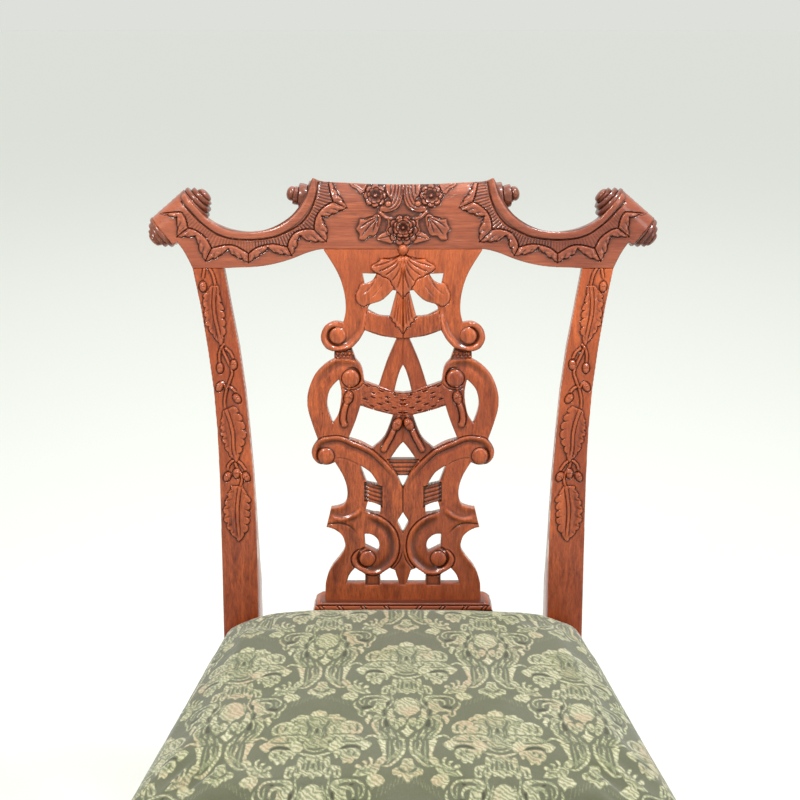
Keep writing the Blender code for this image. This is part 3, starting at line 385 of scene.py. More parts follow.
class Nodes:
    """Short ways to build a shader's node tree."""

    def __init__(self, name):
        self.material = bpy.data.materials.new(name)
        self.material.use_nodes = True
        self.tree = self.material.node_tree
        self.shader = self.tree.nodes["Principled BSDF"]

    def node(self, kind, inputs=(), output=0, **settings):
        made = self.tree.nodes.new(kind)
        for key, value in settings.items():
            setattr(made, key, value)
        for key, value in dict(inputs).items():
            self.feed(made.inputs[key], value)
        return made.outputs[output]

    def feed(self, socket, value):
        if isinstance(value, bpy.types.NodeSocket):
            self.tree.links.new(value, socket)
        else:
            socket.default_value = value

    def set(self, **values):
        for key, value in values.items():
            self.feed(self.shader.inputs[key.replace("_", " ")], value)

    def math(self, operation, a, b=0.0, c=0.0):
        return self.node("ShaderNodeMath", {0: a, 1: b, 2: c}, operation=operation)

    def place(self):
        return self.node("ShaderNodeTexCoord", output=3)

    def parts(self, vector):
        made = self.tree.nodes.new("ShaderNodeSeparateXYZ")
        self.tree.links.new(vector, made.inputs[0])
        return made.outputs[0], made.outputs[1], made.outputs[2]

    def stretched(self, scale, vector=None):
        inputs = {"Vector": vector or self.place(), "Scale": scale}
        return self.node("ShaderNodeMapping", inputs)

    def noise(self, vector, scale, detail=3.0, rough=0.55, distortion=0.0):
        inputs = {"Vector": vector, "Scale": scale, "Detail": detail, "Roughness": rough}
        inputs["Distortion"] = distortion
        return self.node("ShaderNodeTexNoise", inputs)

    def ramp(self, value, *stops):
        """A colour ramp from (position, colour) stops; a colour may be one number."""
        made = self.tree.nodes.new("ShaderNodeValToRGB")
        elements = made.color_ramp.elements
        while len(elements) < len(stops):
            elements.new(0.5)
        for element, (position, colour) in zip(elements, stops):
            element.position = position
            element.color = (*colour, 1) if isinstance(colour, tuple) else (colour,) * 3 + (1,)
        self.feed(made.inputs[0], value)
        return made.outputs[0]

    def mix(self, share, a, b, kind="MIX"):
        made = self.tree.nodes.new("ShaderNodeMix")
        made.data_type = "RGBA"
        made.blend_type = kind
        for key, value in ((0, share), (6, a), (7, b)):
            if isinstance(value, tuple):
                value = (*value, 1)
            self.feed(made.inputs[key], value)
        return made.outputs[2]

    def weave(self, where, frequency):
        """Warp and weft threads, as a product of two sines."""
        x, y, _ = self.parts(where)
        warp, weft = (self.math("SINE", self.math("MULTIPLY", axis, frequency)) for axis in (x, y))
        return self.math("MULTIPLY", warp, weft)

    def bump(self, height, distance, strength=1.0, normal=None):
        inputs = {"Height": height, "Distance": distance, "Strength": strength}
        if normal:
            inputs["Normal"] = normal
        return self.node("ShaderNodeBump", inputs)


def scaled(colour, factor):
    return tuple(factor * c for c in colour)


def wood_material(name, grain, light=(0.50, 0.108, 0.027), dark=(0.105, 0.014, 0.004)):
    """Stained and varnished hardwood, its grain along one axis, with dark glaze and painted shade in
    the cuts, and wear with a painted highlight on the raised points.
    """
    n = Nodes(name)
    where = n.place()
    run = tuple(0.055 if axis == grain else 1.0 for axis in "xyz")
    half_tone = tuple(0.5 * (a + b) for a, b in zip(light, dark))
    fibres = n.noise(n.stretched(run, where), 520, 4, 0.65, 0.4)
    bands = n.noise(n.stretched(run, where), 75, 3, 0.5, 1.2)
    broad = n.noise(n.stretched(tuple(0.3 * r + 0.2 for r in run), where), 9, 3)
    tone = n.math("MULTIPLY_ADD", fibres, 0.55, n.math("MULTIPLY", bands, 0.45))
    colour = n.ramp(tone, (0.34, dark), (0.50, half_tone), (0.63, light))
    colour = n.mix(n.ramp(broad, (0.38, 0.0), (0.7, 0.55)), colour, scaled(light, 1.25))
    shadows = n.ramp(n.noise(where, 5.5, 2), (0.42, 0.5), (0.58, 0.0))
    colour = n.mix(shadows, colour, scaled(dark, 1.6))
    long_run = tuple(r * (0.5 if r < 1 else 1) for r in run)
    pores = n.ramp(n.noise(n.stretched(long_run, where), 1500, 2), (0.30, 1.0), (0.42, 0.0))
    colour = n.mix(n.math("MULTIPLY", pores, 0.55), colour, scaled(dark, 0.35))
    recess = n.node("ShaderNodeAttribute", output=2, attribute_name="recess")
    # Dark glaze, and painted shade: the wood is darker the deeper a point lies under its surroundings.
    glaze_and_shade = n.ramp(recess, (0.12, 0.0), (0.80, 0.86))
    colour = n.mix(glaze_and_shade, colour, (0.034, 0.007, 0.003))
    # Wear, and a painted highlight: raised points are made lighter.
    wear_and_highlight = n.ramp(n.math("MULTIPLY", recess, -1), (0.12, 0.0), (0.9, 0.42))
    colour = n.mix(wear_and_highlight, colour, (0.52, 0.14, 0.055))
    smudge = n.noise(where, 45, 4, 0.6)
    n.set(Base_Color=colour)
    dull = n.math("MULTIPLY_ADD", pores, 0.2, 0.24)
    n.set(Roughness=n.math("MULTIPLY_ADD", smudge, 0.20, dull))
    n.set(Coat_Weight=0.50, Coat_Roughness=0.10, Specular_IOR_Level=0.38)
    lift = n.math("SUBTRACT", n.math("MULTIPLY", fibres, 0.5), pores)
    n.set(Normal=n.bump(lift, 0.00018, 0.45, n.bump(smudge, 0.0012, 0.25)))
    return n.material


MATERIALS = {
    "wood_up": wood_material("carved_wood_upright", "z"),
    "wood_across": wood_material("carved_wood_across", "x"),
    "wood_deep": wood_material("carved_wood_fore_and_aft", "y"),
    # The crest's copy of the wood is darker and cooler: painted shade, and a painted reflection of cool
    # light on its face. The scroll bosses use it too.
    "wood_crest_painted_sheen_and_shade": wood_material("carved_wood_crest", "x", (0.37, 0.100, 0.045), (0.11, 0.021, 0.010)),
}


def settle(obj, material, slot, *nodes, body="frame"):
    """Gives a piece its material, and makes it ride and replace its CAD nodes. slot is not used."""
    obj.data.materials.clear()
    obj.data.materials.append(MATERIALS[material])
    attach(obj, body)
    if nodes:
        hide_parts(*nodes)
    return obj


def damask_material():
    """Woven damask: a cream and sage figure on a grey-green ground, with visible threads."""
    n = Nodes("seat_damask")
    where = n.place()
    tone = n.node("ShaderNodeAttribute", output=2, attribute_name="figure")
    slubs = n.noise(n.stretched((1, 0.14, 1), where), 900, 3, 0.7)
    picks = n.noise(n.stretched((0.14, 1, 1), where), 1100, 2, 0.6)
    patchy = n.noise(where, 22, 3)
    threads = n.math("ADD", n.math("MULTIPLY", slubs, 0.6), n.math("MULTIPLY", picks, 0.4))
    level = n.math("ADD", tone, n.math("MULTIPLY_ADD", threads, 0.34, -0.17))
    inputs = {"Vector": where, "Scale": 92.0, "Distortion": 9.0, "Detail": 3.0, "Detail Scale": 1.3}
    strokes = n.node("ShaderNodeTexWave", inputs, output=1, bands_direction="DIAGONAL")
    in_figure = n.ramp(tone, (0.38, 0.0), (0.55, 0.52))
    level = n.math("ADD", level, n.math("MULTIPLY", n.math("SUBTRACT", strokes, 0.62), in_figure))
    ground, line = (0.108, 0.111, 0.070), (0.055, 0.053, 0.030)
    sage, cream = (0.200, 0.212, 0.122), (0.405, 0.382, 0.252)
    straw, highlight = (0.282, 0.280, 0.170), (0.49, 0.475, 0.34)
    stops = [
        (0.0, line), (0.16, ground), (0.34, ground), (0.50, sage), (0.66, straw), (0.86, cream),
        (1.0, highlight),
    ]
    colour = n.ramp(n.math("MULTIPLY_ADD", level, 0.75, 0.19), *stops)
    in_patches, on_light = n.ramp(patchy, (0.52, 0.0), (0.66, 0.5)), n.ramp(tone, (0.4, 0.0), (0.7, 1.0))
    blush = n.math("MULTIPLY", in_patches, on_light)
    colour = n.mix(blush, colour, (0.40, 0.265, 0.175))
    cool = n.ramp(n.noise(where, 14, 2), (0.42, 0.0), (0.62, 0.35))
    colour = n.mix(cool, colour, (0.30, 0.33, 0.21), "SOFT_LIGHT")
    colour = n.mix(0.5, colour, n.ramp(threads, (0.35, 0.42), (0.65, 0.60)), "OVERLAY")
    n.set(Base_Color=colour, Sheen_Weight=0.25, Sheen_Roughness=0.5, Specular_IOR_Level=0.25)
    n.set(Roughness=n.ramp(tone, (0.2, 0.9), (0.7, 0.62)))
    weave = n.math("MULTIPLY_ADD", n.weave(where, 5200), 0.3, threads)
    n.set(Normal=n.bump(weave, 0.00035, 0.6))
    return n.material


def cloth_material(name, light, dark, pitch, roughness=0.9):
    """Plain woven cloth with warp and weft threads, slubs and uneven colour."""
    n = Nodes(name)
    where = n.place()
    weave = n.math("MULTIPLY_ADD", n.weave(where, 2 * math.pi / pitch), 0.5, 0.5)
    slubs = n.noise(n.stretched((1, 0.1, 1), where), 300, 3, 0.7)
    colour = n.mix(n.math("MULTIPLY", weave, 0.6), n.ramp(slubs, (0.3, dark), (0.65, light)), dark)
    colour = n.mix(n.ramp(n.noise(where, 12, 3), (0.4, 0.0), (0.7, 0.3)), colour, dark)
    n.set(Base_Color=colour, Roughness=roughness, Sheen_Weight=0.2, Specular_IOR_Level=0.2)
    n.set(Normal=n.bump(n.math("ADD", weave, slubs), 0.0004, 0.8))
    return n.material


def webbing_material():
    """Jute webbing: coarse herringbone threads and loose hairs."""
    n = Nodes("webbing_jute")
    where = n.place()
    x, y, _ = n.parts(where)
    chevron = n.math("PINGPONG", x, 0.006)
    rib = n.math("SINE", n.math("MULTIPLY", n.math("ADD", y, chevron), 2 * math.pi / 0.0026))
    hairs = n.noise(n.stretched((1, 0.2, 1), where), 700, 4, 0.75)
    brown, straw = (0.16, 0.085, 0.035), (0.48, 0.32, 0.16)
    colour = n.ramp(n.math("MULTIPLY_ADD", rib, 0.2, hairs), (0.25, brown), (0.7, straw))
    n.set(Base_Color=colour, Roughness=0.95, Specular_IOR_Level=0.15)
    n.set(Normal=n.bump(n.math("MULTIPLY_ADD", rib, 0.5, hairs), 0.0008, 0.9))
    return n.material


def frame_wood_material():
    """Plain beech of the hidden frame: pale, sawn and planed, with pores and handling marks."""
    n = Nodes("frame_wood")
    where = n.place()
    fibres = n.noise(n.stretched((0.06, 1, 1), where), 420, 4, 0.6, 0.5)
    flecks = n.noise(n.stretched((0.35, 1, 1), where), 900, 2, 0.5)
    saw = n.math("SINE", n.math("MULTIPLY", n.parts(where)[0], 2 * math.pi / 0.0032))
    colour = n.ramp(fibres, (0.3, (0.32, 0.19, 0.085)), (0.7, (0.58, 0.40, 0.22)))
    colour = n.mix(n.ramp(flecks, (0.60, 0.0), (0.68, 0.5)), colour, (0.24, 0.12, 0.05))
    colour = n.mix(n.ramp(n.noise(where, 9, 4), (0.45, 0.0), (0.75, 0.5)), colour, (0.26, 0.15, 0.07))
    n.set(Base_Color=colour, Roughness=n.math("MULTIPLY_ADD", fibres, 0.2, 0.6))
    n.set(Normal=n.bump(n.math("MULTIPLY_ADD", saw, 0.12, fibres), 0.0003, 0.6))
    return n.material


def steel_material():
    """Old plated screws: brushed across the head, dull, with some rust in the corners."""
    n = Nodes("screw_steel")
    where = n.place()
    brushed = n.noise(n.stretched((1, 12, 12), where), 300, 3)
    rust = n.ramp(n.noise(where, 380, 4, 0.7), (0.55, 0.0), (0.72, 0.8))
    metal = n.ramp(brushed, (0.3, (0.33, 0.32, 0.30)), (0.7, (0.55, 0.54, 0.50)))
    n.set(Base_Color=n.mix(rust, metal, (0.18, 0.07, 0.03)), Metallic=n.math("SUBTRACT", 1.0, rust))
    n.set(Roughness=n.math("MULTIPLY_ADD", brushed, 0.25, 0.3))
    n.set(Normal=n.bump(n.math("ADD", brushed, rust), 0.0001, 0.5))
    return n.material


MATERIALS["damask"] = damask_material()
MATERIALS["calico"] = cloth_material("dust_calico", (0.10, 0.095, 0.09), (0.045, 0.042, 0.04), 0.0011)
MATERIALS["webbing"] = webbing_material()
MATERIALS["frame_wood"] = frame_wood_material()
MATERIALS["steel"] = steel_material()


# ---------------------------------------------------------------- the crest rail

CREST_OUTLINE = [
    (92, 464.3, 1), (100, 463), (112, 459.5), (130, 452.5), (150, 447), (170, 444), (190, 443.2),
    (208, 442.3, 1), (243, 442.3, 1), (247, 451), (254, 464), (264, 477), (277, 490, 1), (262, 512, 1),
    (243, 516, 1), (226, 499, 1), (218, 494), (205, 488.5), (190, 485), (176, 484), (160, 486),
    (145, 491.5), (130, 501), (119, 513), (111, 527), (105.5, 541), (103, 545, 1), (93, 541.5), (70, 540),
    (35, 538.3), (0, 538, 1),
]
MIDDLE_ROLL = {"end": 101, "s": 520, "radius": 16, "n": -24}
EAR_ROLL = {"inner": (240.5, 516), "outer": (277.5, 484.5), "radius": 20.5, "n": -18.5}

RIM_LINE = [
    (-254, 518), (-245, 508), (-235, 497), (-225, 489), (-215, 482), (-205, 478), (-195, 476),
    (-180, 475), (-165, 475.5), (-150, 477.5), (-140, 481), (-130, 485.5), (-120, 491), (-112, 499),
    (-106, 508), (-102, 517), (-99, 528), (-97, 540),
]
RIM_MIDDLE = [
    (-250, 524), (-240, 512), (-231, 501), (-221, 491.5), (-210, 485), (-197, 481), (-180, 479.5),
    (-160, 481), (-145, 485), (-134, 490.5), (-124, 498), (-116, 506.5), (-109.5, 516), (-105, 525),
    (-102, 534), (-99.5, 543),
]

# The leaves of the ruffled border: smooth inner edge, outer edge, how many scallops
RUFFLE = [
    ([(-276, 505), (-264, 506), (-254, 506), (-249, 498), (-247, 488)],
     [(-280, 504), (-264, 501), (-259.5, 497), (-259, 488), (-260, 478)], 4),
    ([(-247, 488), (-239, 486), (-227, 477), (-220.5, 465)],
     [(-260, 478), (-248, 478), (-238.5, 477), (-235, 464), (-228, 450)], 5),
    ([(-220.5, 465), (-207, 468.5), (-194, 468), (-178, 459)],
     [(-228, 450), (-213, 455), (-201.5, 463), (-196, 457), (-178, 448.5)], 6),
    ([(-178, 459), (-168, 466), (-150, 470), (-133, 466.5)],
     [(-178, 448.5), (-166, 456), (-155, 464), (-146, 459), (-128, 456.5)], 6),
    ([(-133, 466.5), (-131, 474), (-124, 483), (-112, 487), (-102, 486.5)],
     [(-128, 456.5), (-122, 468), (-118.5, 479), (-108, 473), (-88, 472.5)], 6),
    ([(-102, 486.5), (-101, 497), (-96, 507), (-88, 514), (-80, 518)],
     [(-88, 472.5), (-87, 487), (-92, 499), (-80, 503.5), (-64, 511)], 6),
    ([(-80, 518), (-83, 527), (-86, 540)],
     [(-64, 511), (-69, 520), (-77, 531), (-81, 539)], 4),
]


def spaced(points, count):
    """That many points evenly along a smooth line."""
    path = spline(points, 8)
    walked = np.concatenate([[0], np.cumsum(np.hypot(*np.diff(path, axis=0).T))])
    places = np.linspace(0, walked[-1], count)
    return np.stack([np.interp(places, walked, path[:, axis]) for axis in (0, 1)], 1)


def ruffle(relief, inner, outer, waves, height=1.5, scallop=2.3):
    """One leaf of a ruffled border, with a fold behind each scallop of its outer edge."""
    spacing = 12
    count = spacing * waves + 1
    a, b = spaced(inner, count), spaced(outer, count)
    inward = (a - b) / np.maximum(np.hypot(*(a - b).T), 1e-6)[:, None]
    run = np.linspace(0, 1, count)
    wave = np.abs(np.sin(waves * math.pi * (run + 0.035 * np.sin(2 * math.pi * run))))
    edge = b + scallop * (1 - wave[:, None] ** 0.5) * inward
    edge[[0, -1]] = b[[0, -1]]
    loop = np.vstack([a, edge[::-1]])
    relief.patch(loop, height, edge=2.2, crown=0.5, level=0.0, trench=1.2, smooth=False)
    for k in range(waves):
        here = spacing * k
        crown = edge[here + spacing // 2]
        if k:
            start = edge[here]
            bend = 0.35 * a[max(here - 2, 0)] + 0.65 * b[here]
            end = 0.62 * a[max(here - 6, 0)] + 0.38 * b[max(here - 4, 0)]
            relief.groove([start, bend, end], 1.2, 0.9, fade=(0, 0.7))
        path = [0.45 * crown + 0.55 * a[here + 4], 0.8 * crown + 0.2 * a[here + 6]]
        relief.swell(path, 2.0, 0.55, fade=(0.5, 0.35))
    for end in (1, count - 2):
        start, fold = b[end], 0.25 * b[end] + 0.75 * a[end]
        near = 9 if end == 1 else -10
        vein = [0.7 * start + 0.3 * b[near], 0.5 * fold + 0.5 * a[near], a[near]]
        relief.groove(vein, 0.9, 0.7, fade=(0.1, 0.5))
    relief.groove(a, 1.0, 1.2)


def flower(relief, x, s, radius, petals, level, turn=0.0):
    """An open flower: two rings of petals that rise round a deep cup with a bead in it."""
    cut = relief.window((x - radius, s - radius), (x + radius, s + radius), 2)
    dx, ds = relief.X[cut] - x, relief.S[cut] - s
    far, angle = np.hypot(dx, ds), np.arctan2(ds, dx) + turn
    H = relief.H[cut]
    for share, lift, rise, shift in ((1.0, 0.0, 1.4, 0.0), (0.70, -0.2, 2.6, 0.5)):
        wave = np.abs(np.cos(petals / 2 * angle + shift * math.pi / 2))
        edge = radius * share * (0.82 + 0.18 * wave**0.6)
        u = far / edge
        dish = level + lift + rise * np.clip(u, 0, 1) ** 2.2 * (0.6 + 0.4 * wave)
        dish -= 1.6 * np.clip((u - 0.86) / 0.14, 0, 1) ** 2
        dish -= 0.6 * (1 - wave) ** 3 * (u > 0.4)
        H = np.where(u < 1, dish, H)
        H = H - 1.3 * np.clip(1 - np.abs(u - 1) * radius * share, 0, 1)
    H = H - 2.6 * np.exp(-((far / (0.46 * radius)) ** 4))
    relief.H[cut] = H
    relief.stain_and_painted_light[cut] = np.maximum(relief.stain_and_painted_light[cut], 0.42 * ease((1.12 * radius - far) / 3))
    relief.ball(x, s, 0.2 * radius, 2.0, level - 2.2, 0.9)


def ear_ends(side):
    """The inner and outer end of an ear's roll."""
    return [np.array(EAR_ROLL[end], float) * (side, 1) for end in ("inner", "outer")]


def ear_places(x, s):
    """Places along and across an ear's roll from the middle of its axis, and half its length.
    Across grows up and away from the post."""
    inner, outer = ear_ends(1)
    run = outer - inner
    half = np.hypot(*run) / 2
    run = run / (2 * half)
    middle = (inner + outer) / 2
    dx, ds = np.abs(x) - middle[0], s - middle[1]
    return dx * run[0] + ds * run[1], ds * run[0] - dx * run[1], half


def crest_back(x, s):
    """The back of the crest: flat, but round behind the middle roll and behind both ears."""
    n = np.full_like(x, -CREST_THICKNESS)
    rise = MIDDLE_ROLL["radius"] ** 2 - (s - MIDDLE_ROLL["s"]) ** 2
    middle = MIDDLE_ROLL["n"] - np.sqrt(np.clip(rise, 0, None))
    n = np.where((np.abs(x) < MIDDLE_ROLL["end"]) & (rise > 0), np.minimum(n, middle), n)
    along, across, half = ear_places(x, s)
    rise = EAR_ROLL["radius"] ** 2 - across**2
    on_roll = (np.abs(along) < half + 0.4) & (rise > -2)
    round_back = EAR_ROLL["n"] - np.sqrt(np.clip(rise, 0, None))
    outside = on_roll & (across > 0) & (round_back > n)
    return np.where(on_roll, np.where(outside, round_back, np.minimum(n, round_back)), n)


def crest_form(relief):
    """The crest's front before it is carved: it swells towards the ears and falls away at the top."""
    along, across, half = ear_places(relief.X, relief.S)
    radius, roll_n = EAR_ROLL["radius"], EAR_ROLL["n"]
    blend, swell_reach = 16, 14
    round_front = roll_n + np.sqrt(np.clip(radius**2 - across**2, 0, None))
    near = ease((half + blend - np.abs(along)) / blend)
    rising = (roll_n + radius) * np.exp(-((across / swell_reach) ** 2)) * near
    on_roll = (np.abs(along) < half + 0.5) & (np.abs(across) < radius + 0.5)
    form = np.where(across > 0, np.where(on_roll, round_front, 0), rising)
    top = np.clip((relief.S - 512) / 26, 0, 1.3) * ease((104 + relief.X) / 8)
    return form - 7.5 * top**2.2


def rim_rays(relief):
    """Fine cuts across the border, square to its rim line, longer and deeper near the middle."""
    count = 66
    line = spaced(RIM_LINE, count)
    for k in range(5, count):
        run = line[k] - line[k - 1]
        inward = np.array([run[1], -run[0]]) / np.hypot(*run)
        depth = 0.75 if line[k][0] > -172 else 0.3
        reach = 24 if line[k][0] > -118 else 17
        relief.groove([line[k] + 1.5 * inward, line[k] + reach * inward], 1.5, depth, fade=(0.05, 0.25))
    relief.groove(RIM_LINE, 1.3, 1.7)


def make_crest():
    """The crest rail: its left half is carved and mirrored, then the ears' rolls are added."""
    relief = Relief(-300, 0, np.arange(438, 552, GRID))
    # Much heavier darkening where the carving is dense than on the other pieces: patina, and painted
    # shade that darkens the crest.
    relief.patina_and_shade = 1.0
    relief.form = crest_form(relief)
    relief.ridge(RIM_MIDDLE, (4.2, 4.9), 1.7)
    rim_rays(relief)
    for leaf in RUFFLE:
        ruffle(relief, *leaf)
    crest_flowers(relief)
    relief.mirror()

    ears = []
    for side in (-1, 1):
        inner, outer = ear_ends(side)
        across = np.array([-(outer - inner)[1], (outer - inner)[0]])
        across = across / np.hypot(*across) * (EAR_ROLL["radius"] - 0.05)
        ears.append([np.array([inner + across, outer + across, outer - across, inner - across])])
    board = [spline(mirrored(CREST_OUTLINE), 6, True)]
    crest = carve("crest_rail_carved", relief, [board, *ears], crest_back, 1.2)
    settle(crest, "wood_crest_painted_sheen_and_shade", "carved_wood", "crest_rail")


def crest_flowers(relief):
    """The spray in the middle of the crest: two flowers over one, with leaves between."""
    relief.patch([(-61, 541), (-59, 535), (-53, 532), (-49, 527), (-44, 530), (-42, 541)], 1.3)
    relief.groove([(-58, 538), (-52, 535), (-46, 530)], 1.0, 0.7)
    curl = [
        (0, 541), (0, 528), (-2, 517), (-7, 510), (-14, 507), (-22, 506), (-27, 509), (-25, 513),
        (-19, 514), (-15, 517), (-15, 522), (-19, 527), (-19, 541),
    ]
    relief.patch(curl, 1.8, 2.0, 0.6)
    for points in (
        [(-1.5, 540), (-3, 524), (-8, 513), (-17, 508.5), (-24, 509)],
        [(-5, 540), (-6.5, 526), (-11, 515), (-19, 510.5)],
        [(-9, 540), (-10, 528), (-13.5, 518), (-18, 513)],
        [(-14, 540), (-14, 530), (-16, 523)],
    ):
        relief.groove(points, 1.2, 1.2, fade=(0.05, 0.3))
    relief.ball(-17, 515.5, 3.4, 1.6, 1.6)
    flower(relief, -32, 525, 13.3, 8, 1.1)

    leaf = [
        (-25, 500), (-29, 504), (-36, 501), (-42, 498), (-50, 499, 1), (-51, 493), (-54.5, 487, 1),
        (-50.5, 482), (-51, 475, 1), (-44, 474.5), (-39, 479), (-34, 479, 1), (-30, 482), (-26.5, 491),
    ]
    relief.patch(leaf, 1.6, 1.8, 0.7)
    for end in ((-48, 497), (-52, 487), (-49, 477), (-36, 480.5), (-29, 486)):
        middle = (0.5 * (end[0] - 27.5) - 0.6, 0.5 * (end[1] + 501) + 1.5)
        relief.groove([(-27.5, 501), middle, end], 1.2, 1.3, fade=(0.1, 0.35))
    petal = [
        (0, 467), (-6, 468.5), (-12, 472.5), (-15, 478), (-20, 484), (-18, 492), (-18.5, 499, 1),
        (-12, 496.5), (-6, 497), (0, 499),
    ]
    side_leaf = [(-12, 471), (-20, 472), (-31, 475, 1), (-28, 480), (-20, 484), (-14, 484)]
    relief.patch(side_leaf, 1.5, 1.8, 0.4)
    relief.groove([(-29, 476), (-20, 478), (-14, 480)], 1.1, 1.0)
    relief.patch(petal, 1.4, 2.2, 0.4)
    flower(relief, 0, 485.5, 17.5, 10, 1.2)
    relief.ridge([(-28, 508), (-24, 504), (-19, 500), (-10, 498)], (2.2, 1.6), 2.2, fade=(0.1, 0.3))
    flower(relief, 0, 488.5, 11.5, 8, 3.0, math.pi / 8)


# ---------------------------------------------------------------- the splat

SPLAT_OUTLINE = [
    (93.5, 12, 1), (93.5, 56), (91.5, 71), (86, 84), (76, 97), (70, 107), (69.5, 115), (73, 124.5),
    (82, 131.5), (91.5, 134.5, 1), (88.5, 146), (86, 157, 1), (78, 158.5), (70, 162), (66.5, 171),
    (66.8, 184), (71.5, 198), (80.5, 213.5, 1), (90, 210.3), (100, 212), (107, 219.5), (107.5, 230),
    (100.5, 241, 1), (107, 260), (112, 279), (111.5, 297), (104, 317), (92, 330), (80.5, 337, 1),
    (80.3, 345.5, 1), (90, 349.5), (95.8, 361), (92, 374), (81, 380.5), (69.5, 379.5, 1), (66.5, 395),
    (68.5, 416), (76, 438), (92, 464.2, 1),
]
# Openings across the middle line, as half outlines, and openings on one side, as whole ones
SPLAT_MIDDLE_OPENINGS = [
    [(0, 126.5, 1), (3.5, 134), (6.5, 141), (3.5, 147), (0, 152.5, 1)],
    [(0, 182, 1), (6.8, 196.8, 1)],
    [(15.5, 217, 1), (6, 231), (0, 238, 1)],
    [(0, 296.5, 1), (10.2, 297.8, 1), (7.5, 310), (3.5, 323), (0, 330, 1)],
]
SPLAT_SIDE_OPENINGS = [
    [(68, 64.5, 1), (64.5, 75), (58, 83.5, 1), (51, 79), (45.5, 75.5, 1), (45.5, 64.5, 1)],
    [(27, 64.5, 1), (27.5, 75.5, 1), (22, 80), (16, 83.5, 1), (9.5, 81, 1), (4.5, 64.5, 1)],
    [(46, 126, 1), (37, 125), (29.5, 118), (28.5, 108), (31, 103.5, 1), (45, 110.5, 1)],
    [(51, 210, 1), (38, 200.5), (28.5, 185.3, 1), (43, 188.3, 1), (47, 199)],
    [(42, 165, 1), (34, 163.3), (26.8, 160, 1), (27, 150.3, 1), (36, 151.3), (45, 153.8, 1)],
    [
        (50, 281.5, 1), (56, 263), (64.5, 242, 1), (50, 237.3), (36.5, 230, 1), (22, 244),
        (11.5, 270.5, 1), (30, 275),
    ],
    [(75, 313, 1), (86, 300), (89.3, 281), (83, 260, 1), (76, 272), (72.3, 295)],
    [
        (44.5, 370.3, 1), (26, 364), (7.5, 361, 1), (19, 334), (28.7, 304, 1), (45.5, 310, 1),
        (48.5, 327), (55.5, 336.5, 1), (60, 349.5, 1), (51, 359),
    ],
    [
        (41, 394.5, 1), (38, 400.5), (24, 405.5), (12, 417.3, 1), (7.5, 416.5, 1), (15.5, 387, 1),
        (28, 388),
    ],
    [(47, 436.5, 1), (44.5, 424, 1), (36, 428), (30.5, 436, 1)],
]
# Edges of the straps and scrolls of the left half
RING = [
    (-50, 107), (-55, 105), (-59, 101), (-61.5, 95), (-60, 88), (-55, 82), (-48, 78), (-42, 75),
    (-35, 74), (-28, 75.5), (-22, 78.5), (-16, 83.5), (-11, 89), (-7, 96), (-5, 104), (-4.5, 113),
    (-6, 122), (-9, 130), (-15, 138), (-22, 144), (-30, 148.5), (-38, 151), (-45, 152.5),
]
LOWER_BAND = [
    (-93, 209.5), (-101, 212), (-106.5, 219), (-107.5, 226), (-105, 234), (-100, 240), (-95, 243),
    (-88, 244.5), (-80, 245.2), (-73, 244.5), (-66, 242), (-58, 238), (-50, 235), (-40, 230), (-35, 227),
    (-28, 221), (-20, 213), (-14, 206), (-8, 199), (-4, 191), (0, 180),
]
UPPER_SCROLL = [
    (-41, 396), (-41, 386), (-43, 377), (-46, 368), (-50, 361), (-56, 354), (-62, 349), (-70, 346),
    (-78, 345), (-86, 348), (-92, 353), (-95.3, 362), (-93, 371), (-88, 377), (-82, 380), (-74, 380),
]
LOOP = [
    (-45, 311), (-46, 320), (-48, 327), (-52, 333), (-60, 337), (-70, 338.5), (-80, 337), (-90, 331),
    (-101, 320), (-107.5, 308), (-111.5, 295), (-112.3, 283), (-110.5, 270), (-106, 255), (-100, 241),
]
SWAG_TOP = [(-42, 394), (-30, 389), (-17, 387), (0, 386)]
SWAG_BOTTOM = [(-45, 370.5), (-30, 366), (-15, 362), (0, 361)]
WEAVE_TOP = [(-46, 310.5), (-40, 306.5), (-30, 303), (-20, 299.5), (-10, 297), (0, 295.8)]
WEAVE_BOTTOM = [(-50, 282), (-40, 279.5), (-30, 276), (-20, 273), (-10, 271), (0, 270)]


def offset_line(points, distance):
    """A line beside another one, to the left of its run where distance is positive."""
    path = spaced(points, 6 * len(points))
    run = np.gradient(path, axis=0)
    run /= np.hypot(*run.T)[:, None]
    return path + distance * np.stack([-run[:, 1], run[:, 0]], 1)


def within(relief, loop):
    """A window round a loop, how far its points are from the loop, and which lie inside."""
    cut, far, _, inside = relief.measure(np.array(loop, float), 2, True)
    return cut, far, inside


def lower_part(relief, loop, level):
    """Sinks a part that passes behind its neighbours."""
    cut, far, inside = within(relief, loop)
    relief.H[cut] = np.where(inside, level * ease(far + 0.35), relief.H[cut])


def acorn(relief, x, s, turn, size):
    """A round acorn with a pebbled cap above, turned anticlockwise by turn."""
    cos, sin = math.cos(turn), math.sin(turn)
    wide, tall = 5.4 * size, 8.0 * size
    cut = relief.window((x - tall, s - tall), (x + tall, s + tall), 2)
    dx, ds = relief.X[cut] - x, relief.S[cut] - s
    across, up = dx * cos + ds * sin, ds * cos - dx * sin
    far = np.hypot(across / wide, up / tall)
    dome = 3.0 * size * np.sqrt(np.clip(1 - far**2, 0, 1))
    pebbles = np.abs(np.sin(1.2 * (across + up) / size) * np.sin(1.2 * (across - up) / size))
    brim = 0.5 * size - 0.06 * across**2 / size
    dome += np.where(up > brim, 0.45 * size + pebbles - 0.4, 0.12 * np.cos(3 * across))
    relief.H[cut] = np.where(far < 1, np.maximum(relief.H[cut], dome), relief.H[cut])
    relief.H[cut] -= 1.3 * np.clip(1 - np.abs(far - 1) * wide, 0, 1)
    relief.H[cut] -= 0.7 * (far < 1) * np.clip(1 - np.abs(up - brim) / 0.8, 0, 1)


